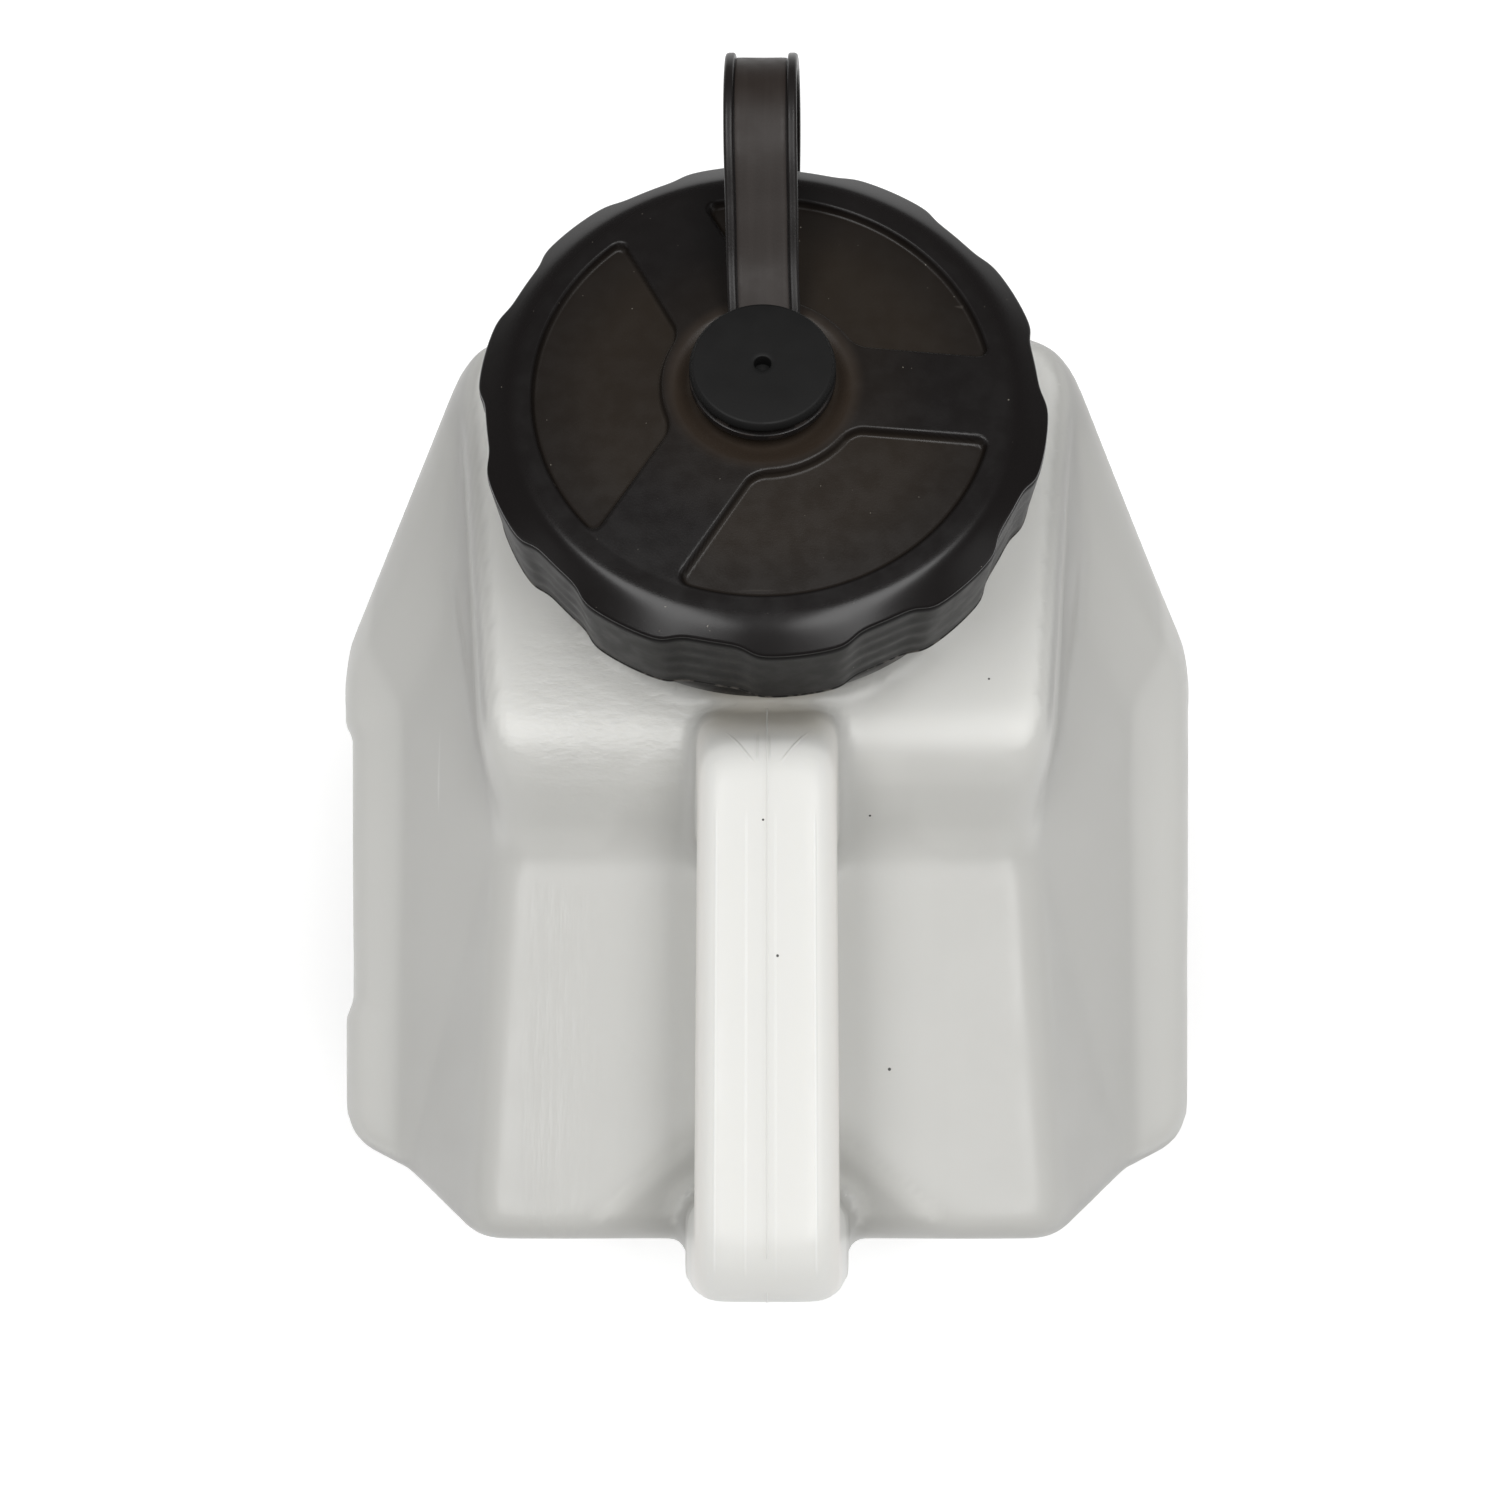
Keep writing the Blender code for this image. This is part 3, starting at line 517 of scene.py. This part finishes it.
def lid_plastic():
    """Brown-black polypropylene, browner in the sunk panels and round the hub."""
    s = Surface("lid_plastic")
    cloud = s.noise("lid_cloud")
    colour = s.mix(s.attribute("panel"), s.mix(cloud, *COLOURS["rim"]),
                   s.mix(cloud, *COLOURS["panel"]))
    colour = s.mix(s.attribute("hub"), colour, COLOURS["hub"])
    colour = s.mix(s.attribute("skirt"), colour, s.mix(cloud, *COLOURS["skirt"]))
    flash = s.times(s.attribute("flash"), s.marks("flash"))
    colour = s.mix(flash, colour, COLOURS["flash"])
    colour = s.mix(s.marks("dust"), colour, COLOURS["dust"])
    scratches = s.times(s.marks("scratches"), SCRATCH_SHARE)
    colour = s.mix(scratches, colour, COLOURS["scratch"])
    # The brow is smooth and glossy, the skirt dull.
    grainy = s.math("SUBTRACT", 1.0, s.times(s.attribute("brow"), BROW_SMOOTHING))
    normal = s.bump("lid_grain", s.times(s.noise("lid_grain"), grainy))
    normal = s.bump("lid_waves", s.times(s.noise("lid_waves"), grainy), normal)
    roughness = s.math("ADD", s.times(s.gloss("lid_gloss"), grainy), BROW_ROUGHNESS)
    roughness = s.math("ADD", roughness, s.times(s.attribute("skirt"), SKIRT_DULLNESS))
    s.shader.inputs["Specular IOR Level"].default_value = LID_SPECULAR
    return s.finish(colour, roughness, normal)


def strap_plastic():
    """Softer brown-grey plastic of the tether, with faint streaks along it."""
    s = Surface("strap_plastic")
    web = s.mix(s.noise("strap_cloud"), *COLOURS["web"])
    streaks = s.times(s.marks("strap_streaks"), STREAK_SHARE)
    web = s.mix(streaks, web, COLOURS["web_streak"])
    colour = s.mix(s.attribute("rib"), web, COLOURS["rib"])
    # Painted shade: the eyelet under the button is darkened.
    colour = s.mix(s.attribute("eyelet"), colour, COLOURS["eyelet"])
    gloss = s.math("ADD", s.times(s.attribute("eyelet"), EYELET_GLOSS),
                   s.times(s.attribute("rib"), RIB_GLOSS))
    roughness = s.math("SUBTRACT", s.gloss("strap_gloss"), gloss)
    s.shader.inputs["Specular IOR Level"].default_value = STRAP_SPECULAR
    return s.finish(colour, roughness, s.bump("strap_grain", s.noise("strap_grain")))


def button_plastic():
    """Matt black rubbery plastic."""
    s = Surface("button_plastic")
    colour = s.mix(s.noise("button_cloud"), *COLOURS["button"])
    s.shader.inputs["Specular IOR Level"].default_value = BUTTON_SPECULAR
    normal = s.bump("button_grain", s.noise("button_grain"))
    return s.finish(colour, s.gloss("button_gloss"), normal)


def floor_finish():
    """Pale floor, lit a little from below as on a light table."""
    s = Surface("pale_floor")
    colour = s.mix(s.noise("floor_cloud"), *COLOURS["floor"])
    s.shader.inputs["Emission Color"].default_value = WHITE
    s.shader.inputs["Emission Strength"].default_value = FLOOR_GLOW
    return s.finish(colour, FLOOR_ROUGHNESS, s.bump("floor_grain", s.noise("floor_grain")))


# Mesh helpers

def mesh_object(name, places, faces, material):
    """An object from places, smooth shaded."""
    mesh = bpy.data.meshes.new(name)
    mesh.from_pydata([tuple(p) for p in places], [], faces)
    mesh.update()
    mesh.shade_smooth()
    mesh.materials.append(material)
    thing = bpy.data.objects.new(name, mesh)
    bpy.context.scene.collection.objects.link(thing)
    return thing


def paint(thing, name, values):
    """Store one number at each vertex under a name that the material reads."""
    layer = thing.data.attributes.get(name) or thing.data.attributes.new(name, "FLOAT", "POINT")
    layer.data.foreach_set("value", np.asarray(values, dtype=np.float32))


def coordinates(mesh):
    places = np.empty(len(mesh.vertices) * 3)
    mesh.vertices.foreach_get("co", places)
    return places.reshape(-1, 3)


def ring_faces(ring_count, steps, closed):
    """Quads between rings that each hold the same number of steps."""
    faces = []
    for k in range(ring_count if closed else ring_count - 1):
        upper = k * steps
        lower = (k + 1) % ring_count * steps
        for i in range(steps):
            j = (i + 1) % steps
            faces.append((upper + i, upper + j, lower + j, lower + i))
    return faces


def face_outward(thing):
    bm = bmesh.new()
    bm.from_mesh(thing.data)
    bmesh.ops.recalc_face_normals(bm, faces=bm.faces)
    bm.to_mesh(thing.data)
    bm.free()


def place_in_lid_frame(thing):
    """Turn local millimetres of the lid's frame into the row frame."""
    thing.data.transform(lid_matrix() @ Matrix.Scale(MM, 4))


def rod_object(name, rings, material):
    """A row of rings closed by a flat face at each end."""
    steps = len(rings[0])
    tail = (len(rings) - 1) * steps
    faces = ring_faces(len(rings), steps, closed=False)
    faces.append(tuple(range(steps)))
    faces.append(tuple(tail + i for i in reversed(range(steps))))
    rod = mesh_object(name, [place for ring in rings for place in ring], faces, material)
    face_outward(rod)
    return rod


def turned_object(name, rings, poles, material):
    """Rings of (steps, 3) places in the lid's frame, closed by two poles or into a loop."""
    steps = len(rings[0])
    faces = ring_faces(len(rings), steps, closed=not poles)
    places = np.concatenate(rings)
    if poles:
        first, last = len(places), len(places) + 1
        places = np.concatenate([places, np.array(poles)])
        tail = (len(rings) - 1) * steps
        for i in range(steps):
            j = (i + 1) % steps
            faces.append((first, j, i))
            faces.append((last, tail + i, tail + j))
    thing = mesh_object(name, places, faces, material)
    place_in_lid_frame(thing)
    face_outward(thing)
    return thing


def plain_ring(radius, height, steps):
    angle = np.arange(steps) * (2 * math.pi / steps)
    return np.stack([radius * np.cos(angle), radius * np.sin(angle),
                     np.full(steps, height)], axis=1)


def smooth_route(points, steps):
    """A Catmull-Rom curve through the points, with steps stretches between each two."""
    knots = [Vector(p) for p in points]
    knots = [2 * knots[0] - knots[1]] + knots + [2 * knots[-1] - knots[-2]]
    route = []
    for a, b, c, d in zip(knots, knots[1:], knots[2:], knots[3:]):
        for i in range(steps):
            t = i / steps
            route.append(0.5 * (2 * b + (c - a) * t + (2 * a - 5 * b + 4 * c - d) * t ** 2
                                + (3 * b - a - 3 * c + d) * t ** 3))
    route.append(knots[-2])
    return route


# Body

def measures_at(places):
    """X, Y, Z and the distance to the side of the middle plane, in millimetres."""
    x, y, z = places.T / MM
    return {"x": x, "y": y, "z": z, "side": np.abs(x)}


def voxel_copy(node, name):
    """A copy of the solid meshed anew with even faces."""
    copy = bpy.data.objects.new(name, node.data.copy())
    bpy.context.scene.collection.objects.link(copy)
    remesh = copy.modifiers.new("remesh", "REMESH")
    remesh.mode = "VOXEL"
    remesh.voxel_size = VOXEL * MM
    graph = bpy.context.evaluated_depsgraph_get()
    mesh = bpy.data.meshes.new_from_object(copy.evaluated_get(graph))
    copy.modifiers.clear()
    copy.data = mesh
    return copy


def relax(places, edges, rounds):
    """Move every place half way to the mean of its neighbours, rounds times over."""
    a, b = edges.T
    count = np.bincount(edges.ravel(), minlength=len(places))
    for _ in range(rounds):
        total = np.zeros_like(places)
        for axis in range(3):
            total[:, axis] = (np.bincount(a, places[b, axis], len(places))
                              + np.bincount(b, places[a, axis], len(places)))
        places += 0.5 * (total / count[:, None] - places)


def soft_copy(node, name, material):
    """The solid's form with every moulded edge and inner corner softened."""
    copy = voxel_copy(node, name)
    mesh = copy.data
    edges = np.empty(len(mesh.edges) * 2, dtype=np.int64)
    mesh.edges.foreach_get("vertices", edges)
    edges = edges.reshape(-1, 2)
    places = coordinates(mesh)
    relax(places, edges, SMOOTH_ROUNDS)
    solid = BVHTree.FromPolygons([v.co for v in node.data.vertices],
                                 [p.vertices for p in node.data.polygons])
    nearest = np.array([solid.find_nearest(Vector(place))[0] for place in places])
    away = np.linalg.norm(nearest - places, axis=1) / MM
    places += smoothstep(away, *SNAP)[:, None] * (nearest - places)
    relax(places, edges, SETTLE_ROUNDS)
    places[:, 0] += DENT * MM * zone_share(measures_at(places), DENT_ZONE)
    mesh.vertices.foreach_set("co", places.ravel())
    mesh.materials.clear()
    mesh.materials.append(material)
    mesh.update()
    mesh.shade_smooth()
    return copy


def paint_body(body):
    """Store each look's share at every vertex, the largest of its zones."""
    measures = measures_at(coordinates(body.data))
    shell_y, shell_z = zip(*SHELL_TOP)
    measures["above"] = measures["z"] - np.interp(measures["y"], shell_y, shell_z)
    measures["behind"] = REAR_WALL_Y - measures["y"]
    normals = np.empty(len(body.data.vertices) * 3)
    body.data.vertices.foreach_get("normal", normals)
    measures["upward"] = normals.reshape(-1, 3)[:, 2]
    for look, zones in BODY_ZONES.items():
        shares = [strength * zone_share(measures, limits) for strength, *limits in zones]
        paint(body, look, np.maximum.reduce(shares))


def parting_line(body, material):
    """The fine raised line where the mould halves met, along the handle and the rear wall."""
    graph = bpy.context.evaluated_depsgraph_get()
    tree = BVHTree.FromObject(body, graph)
    above, behind = 0.4, -0.3     # metres, well clear of the body
    hits = [tree.ray_cast(Vector((0, y * MM, above)), Vector((0, 0, -1)))
            for y in np.arange(*PARTING_Y, -PARTING_STEP)]
    hits += [tree.ray_cast(Vector((0, behind, z * MM)), Vector((0, 1, 0)))
             for z in np.arange(*PARTING_Z, -PARTING_STEP)]
    rings = [[place + Vector((x * MM, 0, 0)) + normal * (out * MM)
              for x, out in PARTING_SECTION] for place, normal, *_ in hits]
    line = rod_object("parting_line", rings, material)
    on_wall = zone_share(measures_at(coordinates(line.data)), PARTING_WALL_ZONE)
    paint(line, "thick_and_painted_light", 1.0 - PARTING_WALL_LOSS * on_wall)
    for look in ("shade", "dim"):
        paint(line, look, np.zeros(len(line.data.vertices)))
    return line


def build_body(frame):
    body = soft_copy(frame["nodes"]["jerrycan_body"], "can_skin",
                     milky_plastic("milky_plastic", SKIN_SCATTER))
    paint_body(body)
    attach(body, "root")
    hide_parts("jerrycan_body")
    line = parting_line(body, milky_plastic("milky_ridge", 0.0))
    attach(line, "root")


# Lid

def panel_distance(radius, angle):
    """Distance to the edge of the nearest sunk panel, below nought inside it."""
    x, y = radius * np.cos(angle), radius * np.sin(angle)
    beside = []
    for degrees in SPOKE_ANGLES:
        turn = math.radians(degrees)
        across = np.abs(-x * math.sin(turn) + y * math.cos(turn))
        along = x * math.cos(turn) + y * math.sin(turn)
        beside.append(np.where(along > 0, SPOKE_HALF - across, -np.inf))
    sides = [PANEL_INNER - radius, radius - PANEL_OUTER, np.maximum.reduce(beside)]
    lifted = [side + PANEL_CORNER for side in sides]
    outside = np.sqrt(sum(np.maximum(side, 0.0) ** 2 for side in lifted))
    return outside + np.minimum(np.maximum.reduce(lifted), 0.0) - PANEL_CORNER


def valley_share(angle, start):
    """One in the valleys between two lobes, nought on the lobes, with soft flanks."""
    wave = np.cos(LOBES * (angle - LOBE_PHASE))
    return 1.0 / (1.0 + np.exp(-VALLEY_SHARPNESS * (wave - start)))


def lid_radius(reach, angle):
    """Pull the rim and skirt in at each valley between two lobes."""
    share = np.clip((reach - CREST_RADIUS) / LOBE_BLEND, 0.0, 1.0)
    return reach - LOBE_DEPTH * valley_share(angle, VALLEY_START) * share


def lid_height(radius, angle):
    """Height of the lid's top: dished hub, ring, falling spokes, sunk panels, crest and brow."""
    share = np.clip((radius - HUB_RADIUS) / (CREST_RADIUS - HUB_RADIUS), 0.0, 1.0)
    height = HUB_TOP + (CREST_TOP - HUB_TOP) * share
    inner, outer = (HUB_RADIUS - step for step in HUB_STEP)
    height = height - HUB_DISH * (1.0 - smoothstep(radius, inner, outer))
    past = radius - BROW_RADIUS
    height = height - BROW_SLOPE * (past + np.sqrt(past ** 2 + BROW_BEND ** 2)) / 2
    return height - PANEL_DEPTH * smoothstep(-panel_distance(radius, angle), 0.0, PANEL_WALL)


def lid_looks(radius, angle, skirt, flash):
    """Each look of the lid round one ring."""
    inside = smoothstep(-panel_distance(radius, angle), *PANEL_LOOK)
    # The panels are brownest towards the hub, and the spokes' roots share some of it.
    panel = inside * (0.5 + 0.5 * smoothstep(radius, *PANEL_BROWNER))
    panel = np.maximum(panel, SPOKE_SHARE * smoothstep(radius, *SPOKE_LOOK))
    level = np.ones(len(angle))
    return {"panel": panel * (1 - skirt), "hub": smoothstep(radius, *HUB_LOOK) * (1 - skirt),
            "brow": smoothstep(radius, *BROW_LOOK) * (1 - skirt), "skirt": skirt * level,
            "flash": flash * level}


def build_lid():
    angle = np.arange(LID_STEPS) * (2 * math.pi / LID_STEPS)
    level, rings, looks = np.ones(LID_STEPS), [], []

    def add(reach, height=None, skirt=0, flash=0.0):
        """A ring at a nominal reach; the top keeps its own height, the skirt is given one."""
        radius = lid_radius(reach * level, angle)
        if height is None:
            height = lid_height(radius, angle)
        rings.append(np.stack([radius * np.cos(angle), radius * np.sin(angle), height * level],
                              axis=1))
        looks.append(lid_looks(radius, angle, skirt, flash))

    for reach in np.concatenate([np.arange(*INNER_REACHES), np.arange(*OUTER_REACHES)]):
        add(reach)
    inset, *_ = EDGE_RINGS[0]
    edge = lid_height(lid_radius((LOBE_RADIUS - inset) * level, angle), angle)
    for inset, drop, skirt in EDGE_RINGS:
        add(LOBE_RADIUS - inset, edge - drop, skirt)
    hollow = valley_share(angle, HOLLOW_START)
    skirt_foot = SKIRT_FOOT + SKIRT_FOOT_ROUND
    for share in np.linspace(0.02, 1.0, SKIRT_RINGS):
        height = (edge - SKIRT_TOP) * (1 - share) + skirt_foot * share
        wave = np.sin(-height * 2 * math.pi / SKIRT_WAVE) * hollow * smoothstep(share, 0.0, 0.25)
        add(LOBE_RADIUS - SKIRT_TAPER * share + SKIRT_RELIEF * wave, height, 1)
    for reach, rise, flash in FLASH_RINGS:
        add(reach, SKIRT_FOOT + rise, 1, flash)
    inside = {"panel": 0 * level, "hub": 0 * level, "brow": 0 * level, "skirt": level,
              "flash": 0 * level}
    for radius, height in ((SOCKET_RADIUS + SOCKET_CHAMFER, SKIRT_FOOT),
                           (SOCKET_RADIUS, SKIRT_FOOT + SOCKET_CHAMFER),
                           (SOCKET_RADIUS, SOCKET_CEILING)):
        rings.append(plain_ring(radius, height, LID_STEPS))
        looks.append(inside)
    top = lid_height(np.zeros(1), np.zeros(1))[0]
    poles = [(0, 0, top), (0, 0, SOCKET_CEILING)]
    lid = turned_object("lid_cover", rings, poles, lid_plastic())
    for name in inside:
        paint(lid, name, np.concatenate([look[name] for look in looks] + [np.zeros(len(poles))]))
    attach(lid, "root")
    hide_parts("lid")


# Tether and button

def corner_arc(centre, radius, start, end, steps):
    points = []
    for i in range(steps + 1):
        angle = math.radians(start + (end - start) * i / steps)
        points.append((centre[0] + radius * math.cos(angle), centre[1] + radius * math.sin(angle)))
    return points


def strap_section():
    """Cross-section of the strap: flat web, a rounded rib and a fine groove along each edge."""
    top = STRAP_WEB + RIB_RISE
    inner = STRAP_HALF - RIB_WIDTH
    under, outer, crown = 0.5, 0.7, 0.4     # radius of each rounded corner
    groove = 0.12
    half = corner_arc((STRAP_HALF - under, -STRAP_WEB + under), under, -90, 0, 3)
    half += corner_arc((STRAP_HALF - outer, top - outer), outer, 0, 90, 4)
    half += corner_arc((inner + crown, top - crown), crown, 90, 180, 3)
    half += [(inner - 0.04, STRAP_WEB - groove), (inner - 0.22, STRAP_WEB - groove),
             (inner - 0.4, STRAP_WEB), (inner - 1.5, STRAP_WEB + 0.03), (1.2, STRAP_WEB)]
    left = [(-x, t) for x, t in reversed(half)]
    return half + left


def joined(target, others):
    """Unite the closed meshes into one and drop the others."""
    tools = bpy.data.collections.new("tools")
    bpy.context.scene.collection.children.link(tools)
    for other in others:
        tools.objects.link(other)
    modifier = target.modifiers.new("join", "BOOLEAN")
    modifier.operation = "UNION"
    modifier.operand_type = "COLLECTION"
    modifier.collection = tools
    graph = bpy.context.evaluated_depsgraph_get()
    mesh = bpy.data.meshes.new_from_object(target.evaluated_get(graph))
    target.modifiers.clear()
    target.data = mesh
    for other in others:
        bpy.data.objects.remove(other, do_unlink=True)
    bpy.data.collections.remove(tools)
    return target


def ring_profile(inner, outer, low, high, chamfer):
    """Section of a ring with its two outer edges rounded."""
    soft = 0.3 * chamfer
    return [(inner, low), (outer - chamfer, low), (outer - soft, low + soft),
            (outer, low + chamfer), (outer, high - chamfer), (outer - soft, high - soft),
            (outer - chamfer, high), (inner, high)]


def build_strap(material):
    """The strap swept along its route, from the eyelet over the rim to the collar."""
    route = [p for p in smooth_route(STRAP_ROUTE, ROUTE_STEPS) if p.y > STRAP_START]
    section = strap_section()
    rings = []
    for i, place in enumerate(route):
        before = route[max(i - 1, 0)]
        after = route[min(i + 1, len(route) - 1)]
        along = (after - before).normalized()
        out = Vector((1, 0, 0)).cross(along)
        side = along.cross(out)
        rings.append([place + side * x + out * t for x, t in section])
    strap = rod_object("tether_band", rings, material)
    rib_start = STRAP_HALF - RIB_WIDTH - 0.4
    paint(strap, "rib", [float(abs(x) > rib_start) for x, _ in section] * len(route))
    paint(strap, "eyelet", np.zeros(len(strap.data.vertices)))
    place_in_lid_frame(strap)
    return strap


def build_ring(name, profile, eyelet, material):
    """A turned ring of the tether; eyelet is one where it takes the eyelet's darker colour,
    painted shade under the button.
    """
    rings = [plain_ring(radius, height, RING_STEPS) for radius, height in profile]
    ring = turned_object(name, rings, None, material)
    count = len(ring.data.vertices)
    paint(ring, "rib", np.zeros(count))
    paint(ring, "eyelet", np.full(count, eyelet))
    return ring


def build_tether():
    material = strap_plastic()
    eyelet = ring_profile(EYELET_HOLE, EYELET_RADIUS, *EYELET_Z, EYELET_CHAMFER)
    collar = ring_profile(COLLAR_INNER, COLLAR_OUTER, *COLLAR_Z, COLLAR_CHAMFER)
    strap = joined(build_strap(material), [build_ring("eyelet", eyelet, 1.0, material),
                                           build_ring("collar", collar, 0.0, material)])
    strap.data.set_sharp_from_angle(angle=math.radians(40))
    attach(strap, "root")
    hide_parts("tether")


def build_button():
    vent_floor = BUTTON_TOP - VENT_DEPTH
    profile = [               # the vent hole, the slightly dished top, the edge and the stem
        (VENT_RADIUS, vent_floor), (VENT_RADIUS, BUTTON_TOP - 0.25),
        (VENT_RADIUS + 0.12, BUTTON_TOP - 0.1), (VENT_RADIUS + 0.3, BUTTON_TOP - 0.03),
        (VENT_RADIUS + 1.0, BUTTON_TOP), (8.0, BUTTON_TOP - 0.05),
        (BUTTON_RADIUS - 1.2, BUTTON_TOP), (BUTTON_RADIUS - 0.9, BUTTON_TOP - 0.04),
        (BUTTON_RADIUS - 0.65, BUTTON_TOP - 0.2), (BUTTON_RADIUS - 0.2, BUTTON_TOP - 0.95),
        (BUTTON_RADIUS - 0.06, BUTTON_TOP - 1.3), (BUTTON_RADIUS, BUTTON_TOP - 1.55),
        (BUTTON_RADIUS - 0.05, BUTTON_UNDER + 0.25), (BUTTON_RADIUS - 0.2, BUTTON_UNDER + 0.05),
        (BUTTON_RADIUS - 0.5, BUTTON_UNDER), (STEM_RADIUS, BUTTON_UNDER), (STEM_RADIUS, STEM_FOOT),
    ]
    rings = [plain_ring(radius, height, BUTTON_STEPS) for radius, height in profile]
    poles = [(0, 0, vent_floor), (0, 0, STEM_FOOT)]
    button = turned_object("vent_cap", rings, poles, button_plastic())
    button.data.set_sharp_from_angle(angle=math.radians(50))
    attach(button, "root")
    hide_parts("vent_button")


# Camera, floor and light

def add_camera():
    data = bpy.data.cameras.new("camera")
    data.sensor_width = SENSOR
    data.lens = FOCAL_PIXELS / IMAGE_PIXELS * SENSOR
    data.shift_x = -OFF_CENTRE_PIXELS / IMAGE_PIXELS
    camera = bpy.data.objects.new("camera", data)
    bpy.context.scene.collection.objects.link(camera)
    camera.location = Vector(CAMERA_PLACE) * MM
    camera.rotation_euler = (math.radians(90 - CAMERA_ELEVATION), 0, 0)
    bpy.context.scene.camera = camera


def add_floor():
    half = FLOOR_HALF
    corners = [(-half, -half, 0), (half, -half, 0), (half, half, 0), (-half, half, 0)]
    floor = mesh_object("floor", corners, [(0, 1, 2, 3)], floor_finish())


def area_light(name, place, size, power):
    data = bpy.data.lights.new(name, "AREA")
    data.shape = "RECTANGLE"
    data.size, data.size_y = size
    data.energy = power
    light = bpy.data.objects.new(name, data)
    bpy.context.scene.collection.objects.link(light)
    light.location = place
    aim = Vector(LIGHT_TARGET) - Vector(place)
    light.rotation_euler = aim.to_track_quat("-Z", "Y").to_euler()


def add_light():
    """A high softbox and a low faint strip each side, and a dim surround."""
    for name, (place, size, power) in BOXES.items():
        area_light(name, place, size, power)
    world = bpy.data.worlds.new("surround")
    world.use_nodes = True
    background = world.node_tree.nodes["Background"]
    background.inputs["Color"].default_value = WHITE
    background.inputs["Strength"].default_value = SURROUND
    bpy.context.scene.world = world
    bpy.context.scene.view_settings.view_transform = "Standard"


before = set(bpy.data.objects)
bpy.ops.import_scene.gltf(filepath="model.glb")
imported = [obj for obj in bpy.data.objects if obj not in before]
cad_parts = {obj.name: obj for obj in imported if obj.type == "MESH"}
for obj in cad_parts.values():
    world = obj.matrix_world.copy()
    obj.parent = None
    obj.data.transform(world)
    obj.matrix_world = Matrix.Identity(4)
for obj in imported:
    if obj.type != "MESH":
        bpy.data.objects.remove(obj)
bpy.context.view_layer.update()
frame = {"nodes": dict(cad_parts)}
add_camera()
build_body(frame)
build_lid()
build_tether()
build_button()
add_floor()
add_light()
